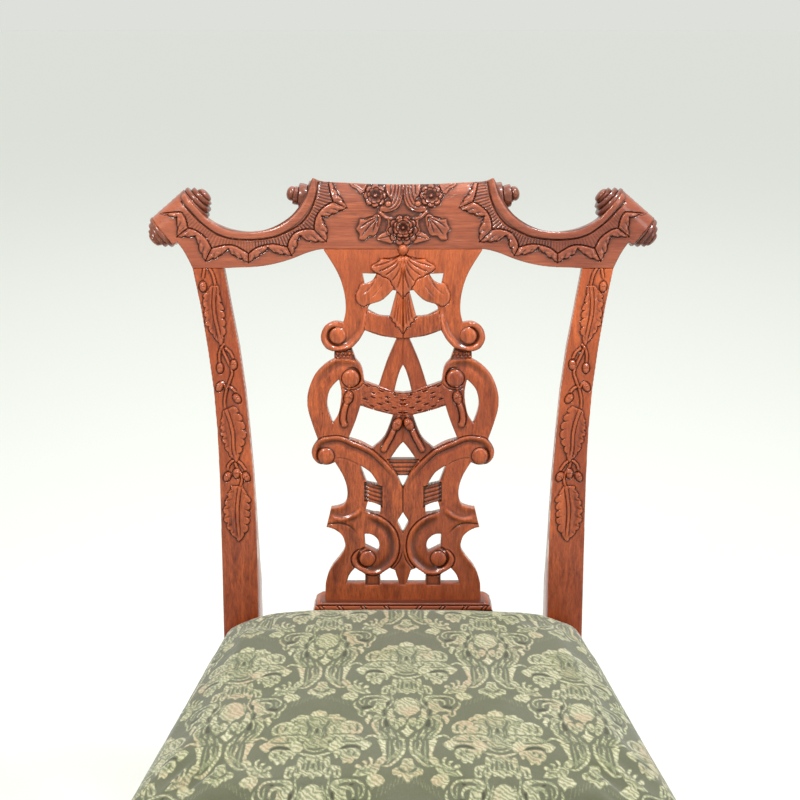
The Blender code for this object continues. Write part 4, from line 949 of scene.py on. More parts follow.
def leaf(relief, midrib, widths, height, lobes):
    """A lobed leaf along a midrib, cut in between its lobes. widths are (left, right) at each point."""
    spacing = 14
    count = spacing * lobes + 1
    rib = spaced(midrib, count)
    run = np.gradient(rib, axis=0)
    run /= np.hypot(*run.T)[:, None]
    normal = np.stack([-run[:, 1], run[:, 0]], 1)
    t = np.linspace(0, 1, count)
    places = np.linspace(0, 1, len(widths))
    edges = []
    for column, side, lag in ((0, 1, 0), (1, -1, 0.06)):
        wide = np.interp(t, places, [w[column] for w in widths])
        wave = np.abs(np.sin(math.pi * lobes * (t + lag))) ** 0.55
        swept = rib + side * normal * (wide * (0.80 + 0.22 * wave))[:, None]
        edges.append(swept + run * 1.3 * wave[:, None])
    loop = np.vstack([edges[0], edges[1][::-1]])
    relief.patch(loop, height + 0.4, 1.4, -0.7, 0.0, 0.9, smooth=False)
    few = slice(None, None, spacing // 2)
    relief.swell(0.45 * rib[few] + 0.55 * edges[1][few], 3.2, -1.1, fade=(0.2, 0.2))
    relief.swell(0.4 * rib[few] + 0.6 * edges[0][few], 2.6, 0.5, fade=(0.2, 0.2))
    for k in range(1, lobes):
        here = spacing * k
        for edge in edges:
            start, end = edge[here], 0.55 * rib[here - 5] + 0.45 * edge[here - 5]
            relief.groove([start, 0.5 * (start + end) + 0.5 * run[here], end], 1.2, 0.7, fade=(0, 0.6))
    relief.ridge(rib[few], (2.2, 1.1), 1.3, fade=(0.02, 0.15))
    for offset, depth in ((-2.3, 0.8), (0, 0.5), (2.3, 0.8)):
        relief.groove(rib[few] + offset * normal[few], 0.8, depth, fade=(0.03, 0.15))


def band(top, bottom, count):
    """A closed loop from two lines, each run from the left."""
    return np.vstack([spaced(top, count), spaced(bottom, count)[::-1]])


def plait(relief):
    """The plaited band: rows of flat strands, with a slot at each crossing."""
    rows, pitch, row_height = 5, 17, 5.2
    cut, _, inside = within(relief, band(WEAVE_TOP, WEAVE_BOTTOM, 30))
    X, S = relief.X[cut], relief.S[cut]
    top, bottom = (np.interp(X, *np.array(line).T) for line in (WEAVE_TOP, WEAVE_BOTTOM))
    row = rows * (top - S) / (top - bottom)
    k = np.floor(row)
    course = X / pitch + 0.37 * k + 0.2 * np.sin(2.1 * k)
    f, g = np.abs(course - np.floor(course) - 0.5) * pitch, (row - k - 0.5) * row_height
    slot = np.clip(1 - np.hypot(f / 3.8, g / 1.2), 0, 1)
    rise = 0.35 * np.sin(X / 2.1 + 2 * k) * np.sin(S / 1.7)
    rise -= 0.4 * np.clip(1 - np.abs(g + 2.4) / 0.9, 0, 1)
    relief.H[cut] = np.where(inside, -0.5 + rise - 2.4 * slot**0.6, relief.H[cut])
    for line in (WEAVE_TOP, WEAVE_BOTTOM):
        relief.groove(line, 1.0, 1.0)


def reeds(relief, loop, count):
    """A sunken tie with reeds across it, between its upper edge and its lower one."""
    (x0, top0), (x1, top1), (_, low1), (_, low0) = loop
    cut, _, inside = within(relief, loop)
    share = (relief.X[cut] - x0) / (x1 - x0)
    low, top = low0 + (low1 - low0) * share, top0 + (top1 - top0) * share
    run = count * (relief.S[cut] - low) / (top - low)
    relief.H[cut] = np.where(inside, -3.8 + 1.2 * np.abs(np.sin(math.pi * run)) ** 0.8, relief.H[cut])


def splat_relief():
    """The left half of the splat, painted darker towards the seat and lighter at the top: painted
    shade and painted light for how the light falls down the back.
    """
    relief = Relief(-116, 0, np.concatenate([np.arange(12, 463.5, GRID), [464.2]]))
    relief.cuts = 0.75
    # Painted shade towards the seat and painted light at the top, by height up the splat.
    relief.stain_and_painted_light += np.interp(relief.S, (0, 200, 330, 464), (0.30, 0.15, 0, -0.45))
    splat_straps(relief)
    splat_base(relief)
    splat_scrolls(relief)
    splat_neck(relief)
    splat_leaves(relief)
    return relief


def splat_straps(relief):
    """What lies behind: sunken straps and reeded ties, the plaited band and the swag."""
    lower_part(
        relief, [(-29, 305), (-19, 334), (-7, 361), (0, 361), (0, 331), (-4, 323), (-10, 297)], -1.2,
    )
    lower_part(
        relief,
        [(-12, 270), (-22, 244), (-38, 229), (-20, 213), (-15, 217), (-6, 231), (0, 238), (0, 270)], -1.2,
    )
    lower_part(relief, [(-81, 346), (-79, 337), (-55, 335), (-60, 350)], -2.2)
    lower_part(relief, [(-28, 62), (-28, 77), (-44, 77), (-45.5, 62)], -1.6)
    reeds(relief, [(-46, 189.5), (-24, 184.2), (-24, 158), (-46, 165.5)], 5)
    reeds(relief, [(-19.5, 217.3), (0.5, 217.3), (0.5, 196.2), (-5.5, 196.2)], 4)
    plait(relief)
    relief.patch(band(SWAG_TOP, SWAG_BOTTOM, 20), 0.3, 1.5, 0.4, 0.0, 1.1, smooth=False)


def splat_base(relief):
    """The outer sweep from the wing down to the base with the fold over it, and the lower ring."""
    relief.groove(
        [(-91, 138), (-75, 139), (-65, 136), (-58, 130), (-52, 123)],
        1.5, 1.0, fade=(0.05, 0.4),
    )
    relief.swell([(-91, 142), (-75, 142.5), (-63, 140), (-53, 133)], 3.0, 0.7, fade=(0.05, 0.4))
    relief.swell([(-88, 148), (-74, 144), (-62, 147), (-53, 153), (-48, 160)], 2.6, 2.0, fade=(0.25, 0.3))
    relief.swell([(-88, 153.5), (-76, 152), (-66, 157), (-58, 168)], 4.0, -0.9, fade=(0.1, 0.4))
    relief.swell(
        [(-47, 158), (-44.5, 170), (-44.5, 184), (-47, 196), (-51, 208)],
        3.2, -1.3, fade=(0.1, 0.2),
    )
    relief.swell([(-83, 135), (-74, 128), (-70, 114), (-73, 101), (-84, 86)], 2.6, 0.5)
    relief.swell([(-62, 128), (-61, 112), (-66, 98), (-76, 82), (-80, 70)], 6.0, -0.6)
    relief.swell(offset_line(RING, 2.6), 3.0, 1.5, fade=(0.01, 0.08))
    relief.swell(offset_line(RING, 9.5), 4.6, -1.5, fade=(0.1, 0.2))
    relief.groove(offset_line(RING, -0.5), 1.1, 1.9, fade=(0.02, 0.05))
    relief.groove(
        [(-44, 110), (-50.5, 105.5), (-53.5, 99), (-53, 92), (-48.5, 86.5), (-41, 84.6), (-34.5, 87.5)],
        2.0, 2.2, fade=(0.1, 0.35),
    )
    relief.ball(-42.5, 95.4, 9.8, 3.0, -0.6, 1.0)
    relief.groove([(-15.5, 84.5), (-9, 92), (-5.2, 101), (-3.6, 110)], 0.9, 1.1, fade=(0.05, 0.4))
    relief.groove([(-11.5, 82.5), (-4.5, 92), (-1.5, 101), (-0.5, 108)], 0.9, 1.1, fade=(0.05, 0.4))
    relief.swell([(-13.5, 84), (-7, 92), (-3.4, 101), (-2, 109)], 1.4, 0.8, fade=(0.1, 0.4))
    relief.swell([(0, 62), (0, 92)], 4.2, -0.9, fade=(0.05, 0.3))


def splat_scrolls(relief):
    """The band over the lower ring with its volute, and the loop with its ball."""
    relief.swell(offset_line(LOWER_BAND, -2.4), 2.8, 1.5, fade=(0.03, 0.5))
    relief.swell(offset_line(LOWER_BAND[3:], -8.0), 4.2, -1.3, fade=(0.02, 0.6))
    relief.groove(offset_line(LOWER_BAND[6:], -6.2), 1.1, 0.9, fade=(0.15, 0.5))
    relief.swell(offset_line(LOWER_BAND[10:], -1.6), 1.6, 0.5, fade=(0.2, 0.1))
    relief.groove(offset_line(LOWER_BAND, 0.5), 1.0, 1.4, fade=(0.02, 0.02))
    relief.groove(
        [(-86, 211.6), (-93, 209.8), (-99.5, 213.5), (-101.8, 221), (-99.2, 228.5), (-93, 232.4)],
        2.0, 2.2, fade=(0.3, 0.35),
    )
    relief.ball(-91, 221, 10.0, 3.2, -0.5, 0.9)
    relief.groove([(-80.5, 219), (-70, 218), (-61, 215), (-52, 210)], 0.9, 0.6, fade=(0.1, 0.1))
    relief.groove([(0, 151), (0, 182)], 1.0, 1.4)
    relief.swell(offset_line(LOOP, 2.4), 2.8, 1.3, fade=(0.03, 0.4))
    relief.swell(offset_line(LOOP[:11], 9.0), 4.6, -1.4, fade=(0.1, 0.5))
    relief.groove(
        [(-63, 306), (-57, 305), (-51.4, 309.5), (-50.4, 317), (-54.5, 324), (-62, 326), (-69, 323)],
        1.9, 2.3, fade=(0.1, 0.35),
    )
    relief.ball(-61.3, 313.8, 10.6, 3.6, -0.4, 1.3)
    relief.groove(
        [(-73.5, 305), (-66, 300.5), (-57, 300.5), (-50, 304), (-46, 309)],
        1.2, 1.2, fade=(0.2, 0.1),
    )
    relief.swell([(-104, 262), (-92, 256), (-84, 250)], 5.0, -0.5, fade=(0.3, 0.4))


def splat_neck(relief):
    """The beaded neck above the loop, and the upper volute."""
    relief.groove([(-81, 346), (-70, 344.6), (-59, 349.5)], 1.0, 1.3)
    for k in range(9):
        row, place = divmod(k, 5)
        relief.ball(-76.5 + 4.6 * place - 1.5 * row, 342.8 - 3.4 * row, 1.5, 1.1, -1.6, 0.3)
    relief.swell(offset_line(UPPER_SCROLL, -3.0), 3.2, 2.1, fade=(0.12, 0.06))
    relief.swell(offset_line(UPPER_SCROLL[:9], -9.5), 4.4, -1.3, fade=(0.3, 0.2))
    relief.groove(
        [
            (-66.5, 357.5), (-74, 353.2), (-82, 354.4), (-87.2, 361), (-86.3, 368.5), (-80.5, 373),
            (-76, 372.5),
        ],
        1.9, 2.5, fade=(0.3, 0.06),
    )
    relief.ball(-76, 364.2, 9.8, 2.6, -0.3, 0.6)
    relief.groove([(-72, 380), (-68.5, 390), (-68, 400)], 1.0, 0.6, fade=(0.05, 0.6))
    relief.swell([(-88, 459), (-76, 437), (-70, 415), (-70, 396)], 3.0, 0.4)
    relief.swell([(-52, 440), (-51, 425), (-57, 400), (-54, 380)], 5.0, -0.5)


def splat_leaves(relief):
    """The petals behind the centre leaves, two pairs of acorns with tails, and the leaves."""
    petal = [
        (-8, 418), (-18, 410), (-25, 405), (-33, 401.5), (-40, 400.5), (-45, 398), (-50, 400), (-54, 405),
        (-54.8, 412), (-52, 418), (-50, 423), (-46, 426), (-38, 428), (-33, 431), (-28, 437), (-14, 436),
    ]
    relief.patch(petal, 1.7, 2.4, 0.9, 0.0, 1.2)
    relief.groove([(-30, 434), (-36, 423), (-44, 414.5), (-51, 411)], 1.3, 1.1, fade=(0.1, 0.4))
    relief.groove([(-24, 424), (-33, 412), (-42, 405.5)], 1.0, 0.7, fade=(0.1, 0.4))
    for x, s, tail, turn in (
        (-64, 291, [(-66.5, 284), (-69.5, 275), (-70.5, 265), (-69, 259)], -0.22),
        (-7, 259, [(-11, 252), (-15, 243), (-19, 236), (-22.5, 229)], -0.5),
    ):
        relief.ridge(tail, (3.0, 3.6), 3.0)
        for side in (-1, 1):
            relief.groove(offset_line(tail, side * 3.8), 0.9, 1.0, fade=(0.02, 0.02))
        acorn(relief, x, s, turn, 1.0)
    relief.ridge([(-64, 298), (-63, 304)], 1.6, 1.6)
    relief.ridge([(-7, 266), (-3, 271)], 1.4, 1.3)
    centre_leaves(relief)


def centre_leaves(relief):
    """The fan leaf and the long leaf under it, in the middle of the splat's top."""
    long_leaf = [
        (0, 418), (-8, 416), (-10.5, 405), (-13.5, 394), (-16, 386, 1), (-13, 384), (-12.5, 380, 1),
        (-9, 378.5), (-8.5, 374, 1), (-5, 373.5), (0, 365, 1),
    ]
    cut, _, inside = relief.patch(long_leaf, 2.2, 2.0, 0.6, 0.0, 1.2)
    # The long leaf is coloured lighter: wear on its raised face, and painted light, as the top of the
    # back is lit more.
    relief.stain_and_painted_light[cut] -= 0.2 * inside
    for k in range(4):
        x = 0.5 + 3.4 * k
        relief.groove(
            [(-0.5 * x, 414), (-0.8 * x, 395), (-x, 371 + 3.6 * k)],
            1.2, 1.3, fade=(0.05, 0.12),
        )
    fan = [
        (0, 462), (-4, 457), (-12, 452.5), (-20, 453.5), (-26, 453, 1), (-29, 449.5), (-36, 446, 1),
        (-37, 442), (-33, 438), (-27, 435), (-24, 432.5, 1), (-19, 431), (-15, 428), (-13, 423, 1),
        (-10.5, 420), (-9.5, 415, 1), (-5, 413.5), (0, 406.5, 1),
    ]
    relief.patch(fan, 2.6, 2.4, 0.9, 0.0, 1.3)
    ribs = [
        (-25, 452, 1), (-35.5, 444, 2), (-30, 437.5, 3), (-22, 433, 3.4), (-14, 426, 3.2),
        (-7.5, 417, 2.2),
    ]
    for x, s, bend in ribs:
        middle = (0.5 * x + 0.8 * bend, 0.5 * (s + 457) - 0.3 * bend)
        relief.groove([(-0.8, 458), middle, (x, s)], 1.3, 1.5, fade=(0.05, 0.12))
    relief.ridge([(0, 459), (0, 409)], (1.8, 1.2), 1.2, fade=(0.1, 0.2))
    relief.ball(0, 463.7, 5.8, 3.6, 0.0, 1.6)


def make_splat():
    """The pierced splat: its left half is carved and mirrored, and then cut to its openings."""
    relief = splat_relief().mirror()
    loops = [spline(mirrored(SPLAT_OUTLINE), 6, True)]
    loops += [spline(mirrored(half), 6, True) for half in SPLAT_MIDDLE_OPENINGS]
    for opening in SPLAT_SIDE_OPENINGS:
        loops += [spline(flipped(opening, side), 6, True) for side in (-1, 1)]

    def back(x, s):
        return np.full_like(x, -SPLAT_THICKNESS)

    splat = carve("back_splat_carved", relief, [loops], back, 1.1)
    settle(splat, "wood_up", "carved_wood", "back_splat")


def make_bead():
    """The half bead over the joint between the splat and the crest rail."""
    count, rings, radius, rise = 28, 9, 5.4, 4.2
    around = np.linspace(0, 2 * math.pi, count, endpoint=False)
    lift, turn = np.meshgrid(np.linspace(0, math.pi / 2, rings + 1), around, indexing="ij")
    reach = radius * np.cos(lift)
    verts = back_point(reach * np.cos(turn), 464 + reach * np.sin(turn), 0.3 + rise * np.sin(lift))
    faces = [ring_faces(rings + 1, count), [list(range(count))[::-1]]]
    bead = mesh_object("crest_bead", verts.reshape(-1, 3), faces, None, 60)
    settle(bead, "wood_up", "carved_wood")


# ---------------------------------------------------------------- the posts

POST_FOOT, POST_TOP = -448, 442.2
# Edges of a post in mm: s, inner x, outer x, depth from front to back, rounding of the back
POST_SHAPE = [
    (POST_FOOT, 180, 213, 36, 0.06),
    (-300, 176.5, 216, 41, 0.06),
    (-95, 174.5, 217, 46, 0.06),
    (0, 174.5, 217, 46, 0.06),
    (60, 174.5, 217, 42, 0.06),
    (95, 174.8, 217, 38, 0.5),
    (150, 175.8, 217.3, 35, 0.9),
    (200, 178, 217.6, 33, 0.9),
    (250, 181.3, 218.8, 31, 0.9),
    (300, 185.4, 222, 30, 0.9),
    (350, 191.5, 227.8, 29, 0.9),
    (400, 200, 235, 28, 0.9),
    (POST_TOP, 207, 243, 27, 0.9),
]
# Each leaf's midrib, and its widths to the left and the right of it along the way
POST_LEAVES = [
    ([(-217, 423), (-219, 405), (-218.5, 388), (-215, 370), (-212, 353)],
     [(4, 5), (8, 14), (12, 12), (11, 13), (8, 8), (0.5, 0.5)]),
    ([(-208.5, 278), (-203.5, 263), (-200.5, 248), (-200, 230), (-197, 214)],
     [(12, 4), (15, 12), (16, 15), (14, 13), (9, 8), (0.5, 0.5)]),
    ([(-193.5, 185), (-196.5, 165), (-197.5, 148), (-196.5, 133), (-196, 117.5)],
     [(4, 10), (15, 14), (15, 17), (15, 16), (11, 12), (0.8, 0.8)]),
]
POST_STEMS = [
    [(-228, 450), (-230, 438), (-231.5, 430)],
    [(-228, 450), (-224, 443), (-219.5, 434), (-217, 422)],
    [(-214, 330), (-214.5, 341), (-212, 350), (-208, 355)],
    [(-208, 350), (-202, 345), (-198, 337)],
    [
        (-212, 353), (-209, 344), (-205, 335), (-200, 322), (-203, 311), (-207, 300), (-209.5, 288),
        (-209, 277),
    ],
    [(-207, 302), (-211, 308), (-214, 310)],
    [(-206, 305), (-200, 302), (-196, 297)],
    [(-208, 204), (-206, 211), (-199, 216), (-192, 212), (-186, 203)],
    [(-199, 215), (-197, 208), (-191, 196), (-192, 188), (-194.5, 180)],
]
# Places and turns of the acorns
POST_ACORNS = [
    (-231.5, 421, 0.1),
    (-214, 326, 0.0),
    (-198, 330, 0.0),
    (-215, 304, -0.5),
    (-195, 290, 0.6),
    (-208.5, 196, -0.5),
    (-197.5, 200, 0.0),
    (-186, 196, 0.5),
]


def post_edges(s):
    """Inner x, outer x, depth and rounding of a post at each s."""
    table = np.array(POST_SHAPE, float)
    return [np.interp(s, table[:, 0], table[:, column]) for column in (1, 2, 3, 4)]


def post_point(x, s, n):
    """World points on a post: raked above its zero, upright below, swept back at the foot."""
    lean = RAKE * np.clip(1 + s / 40, 0, 1)
    sweep, sweep_top = 0.082, -100
    foot = np.clip((sweep_top - s) / (sweep_top - POST_FOOT), 0, 1)
    low = s < 0
    y = BACK_FRONT_Y + np.where(low, sweep * foot**1.9, MM * s * math.sin(RAKE)) - MM * n * np.cos(lean)
    z = BACK_ZERO + MM * np.where(low, s, s * math.cos(RAKE)) + MM * n * np.sin(lean)
    return np.stack([MM * x, y, z], -1)


def post_back(x, s):
    """The height of a post's back, rounded across."""
    inner, outer, depth, rounding = post_edges(s)
    u = np.clip(np.abs((np.abs(x) - (inner + outer) / 2) / ((outer - inner) / 2)), 0, 1)
    cos = np.clip(1 - (1 - u) / np.maximum(rounding, 1e-3), 0, 1)
    return -depth * (1 - 0.55 * rounding * (1 - np.sqrt(1 - cos**2)))


def make_posts():
    """Both posts with the legs under them: the left one is carved, the right one its reflection.
    The grid is fine only where there is carving."""
    rows = np.concatenate([np.linspace(POST_FOOT, 100, 120), np.arange(102, 441.5, GRID), [POST_TOP]])
    relief = Relief(-246, -170, rows)
    relief.cuts, relief.patina_and_shade = 0.8, 0.2
    for points in POST_STEMS:
        relief.ridge(points, (1.7, 1.5), 1.8, fade=(0.04, 0.04))
        for side in (-1, 1):
            relief.groove(offset_line(points, 2.0 * side), 0.8, 0.8, fade=(0.1, 0.1))
    for midrib, widths in POST_LEAVES:
        leaf(relief, midrib, widths, 1.8, 7)
    for x, s, turn in POST_ACORNS:
        acorn(relief, x, s, turn, 0.8)
    dense = np.linspace(POST_FOOT, POST_TOP, 180)
    inner, outer, _, _ = post_edges(dense)
    loop = np.vstack([np.stack([-inner, dense], 1), np.stack([-outer, dense], 1)[::-1]])
    for name, half, outline in (("left", relief, loop), ("right", relief.reflected(), loop * (-1, 1))):
        post = carve(f"back_post_{name}_carved", half, [[outline]], post_back, 1.3, post_point)
        settle(post, "wood_up", "carved_wood", f"back_post_{name}")


# ---------------------------------------------------------------- scroll bosses and the shoe


def make_volute(name, at, towards, radius, height, hand):
    """A scroll's stepped end: a spiral stair of round treads up to a ball. hand is its turn."""
    start, end = (back_point(*np.array(p, float)) for p in (at, towards))
    treads, count, levels, ball_levels = 2.5, 72, 120, 14
    neck = 0.40 * radius
    around = np.linspace(0, 2 * math.pi, count, endpoint=False)
    v, a = np.meshgrid(np.linspace(0, 1, levels), around, indexing="ij")
    t = treads * v + hand * a / (2 * math.pi)
    f = t - np.floor(t)
    stair = np.floor(t) - hand * a / (2 * math.pi) + ease((f - 0.84) / 0.16)
    share = np.clip(stair / treads, 0, 1)
    bulge = 0.035 * np.sin(math.pi * np.clip(f / 0.85, 0, 1))
    seam = np.exp(-(((f - 0.95) / 0.07) ** 2))
    r = (radius + (neck - radius) * share) * (1 + bulge) * (1 - 0.09 * seam)
    z = 0.74 * height * v
    w, over = np.meshgrid(np.linspace(-0.75, math.pi / 2 - 0.06, ball_levels), around, indexing="ij")
    ball = 0.24 * height + 2.0
    r = np.vstack([r, 1.02 * neck * np.cos(w) + 0.4])
    z = np.vstack([z, height - ball * (1 - np.sin(w)) / 1.75])
    a = np.vstack([a, over])
    points = MM * np.stack([r * np.cos(a), r * np.sin(a), z], -1).reshape(-1, 3)
    axis = Vector(end - start).normalized()
    matrix = np.array(Matrix.Translation(start) @ axis.to_track_quat("Z", "Y").to_matrix().to_4x4())
    points = points @ matrix[:3, :3].T + matrix[:3, 3]
    ends = [[list(range(count))[::-1]], [list(range(len(points) - count, len(points)))]]
    # Painted shade: the glaze darkens the seams between the treads most, and the rest of the boss and its
    # ball nearly as much, so the bosses read darker.
    shade = np.concatenate([(0.7 * seam + 0.48).ravel(), np.full(ball_levels * count, 0.45)])
    boss = mesh_object(f"{name}_carved", points, [ring_faces(len(r), count), *ends], shade, 60)
    settle(boss, "wood_crest_painted_sheen_and_shade", "carved_wood", name)


def make_volutes():
    """The six bosses: one at each shoulder, and one on each end of both ears' rolls."""
    s, n = MIDDLE_ROLL["s"] + 1.5, MIDDLE_ROLL["n"]
    for side, name in ((-1, "left"), (1, "right")):
        end = side * MIDDLE_ROLL["end"]
        make_volute(f"shoulder_volute_{name}", (end, s, n), (2 * end, s + 22, n), 20, 35, side)
        inner, outer = (np.array([*end, EAR_ROLL["n"]]) for end in ear_ends(side))
        make_volute(f"ear_volute_{name}_upper", inner, 2 * inner - outer, 20.5, 19, side)
        make_volute(f"ear_volute_{name}_lower", outer, 2 * outer - inner, 20.5, 19, -side)


# The profile of the shoe's front: height and how far it stands out
SHOE_FRONT = [
    (-7.7, 3), (32.2, 3), (33, 1.2), (34.2, 2.4), (36.5, 3), (38.8, 2.4), (40, 1.0), (40.6, 1.0),
    (41.2, 1.9), (42.6, 1.9), (43.2, 1.0), (44, 0.6),
]


def make_shoe():
    """The shoe that the splat stands in: a moulding with a strip of slanting cuts."""
    relief = Relief(-112, 0, np.concatenate([np.linspace(-7.7, 30, 12), np.linspace(31, 44, 34)]))
    table = np.array(SHOE_FRONT, float)
    relief.H[:] = np.interp(relief.s, table[:, 0], table[:, 1])[:, None]
    for pair in (-97, -74, -46, -18):
        for x in (pair - 3.4, pair + 1.2):
            relief.groove([(x - 2.2, 40), (x, 37.4), (x + 3, 33)], 1.1, 1.6, fade=(0.1, 0.1))
    relief.groove([(-104, 40.3), (0, 40.3)], 0.9, 0.7)
    # Painted shade: the whole shoe is coloured darker, as the bottom of the back gets less light.
    relief.stain_and_painted_light += 0.32
    relief.mirror()
    half = [(108, -7.7, 1), (108, 32.6, 1), (106.2, 36), (105.6, 39), (102, 42), (97.5, 44, 1)]
    loop = spline(half + [(-x, *rest) for x, *rest in reversed(half)], 4, True)

    def back(x, s):
        return np.interp(s, (-7.7, 44), (-25, -28.5))

    def place(x, s, n):
        return np.stack([MM * x, BACK_FRONT_Y - MM * n, BACK_ZERO + MM * s], -1)

    shoe = carve("splat_shoe_carved", relief, [[loop]], back, 0.9, place)
    settle(shoe, "wood_across", "carved_wood", "splat_shoe")


# ---------------------------------------------------------------- the drop-in seat

SEAT_FRONT = FRONT_Y + 0.0127
SEAT_REAR = BACK_FRONT_Y - 0.0087
SEAT_MIDDLE = (SEAT_FRONT + SEAT_REAR) / 2
CLOTH_INSET = -0.0018
COVER_BOTTOM = 0.4286
STUFFING_BOTTOM = 0.4504
# The pad's profile in mm: height over the rails, how far it is drawn in, radius of its corners
RINGS = (
    (6.1, 0, 6),
    (16, -2.2, 9),
    (28, -2, 18),
    (38.5, -0.5, 34),
    (47.5, 3.5, 50),
    (55, 10, 62),
    (60.5, 26, 70),
    (63.5, 55, 75),
    (65, 110, 60),
)
PAD_TOP = 65.5
# How the cover's edge is turned in under the frame: each step's move inwards and its height
TURNED_IN = (
    (0.0006, 0.42835), (0.020, 0.42835), (0.0, 0.42975), (-0.0185, 0.42975), (0.0, STUFFING_BOTTOM),
)
# The dust cover's turned edge, as inset and height, and where its flat middle begins
DUST_EDGE = ((0.0222, 0.4297), (0.0222, 0.42895), (0.0232, 0.42885), (0.030, 0.42895), (0.031, 0.4292))
DUST_MIDDLE = (0.033, 0.4292)
# Cloth settings of the pad while it swells
STUFFING = {
    "quality": 5,
    "mass": 0.3,
    "tension_stiffness": 15,
    "compression_stiffness": 15,
    "shear_stiffness": 8,
    "bending_stiffness": 0.6,
    "use_pressure": True,
    "uniform_pressure_force": 4,
}
SWELL_FRAMES = 20

# The damask, in mm across and towards the sitter: half a medallion on one axis, beside half a
# flower on the other. In the next drop the two change places.
AXIS, OTHER_AXIS, TOP, DROP = 90.0, 3.5, 45.0, 115.0
THREAD_STEP = 0.5
CLOTH_STRETCH = 0.87
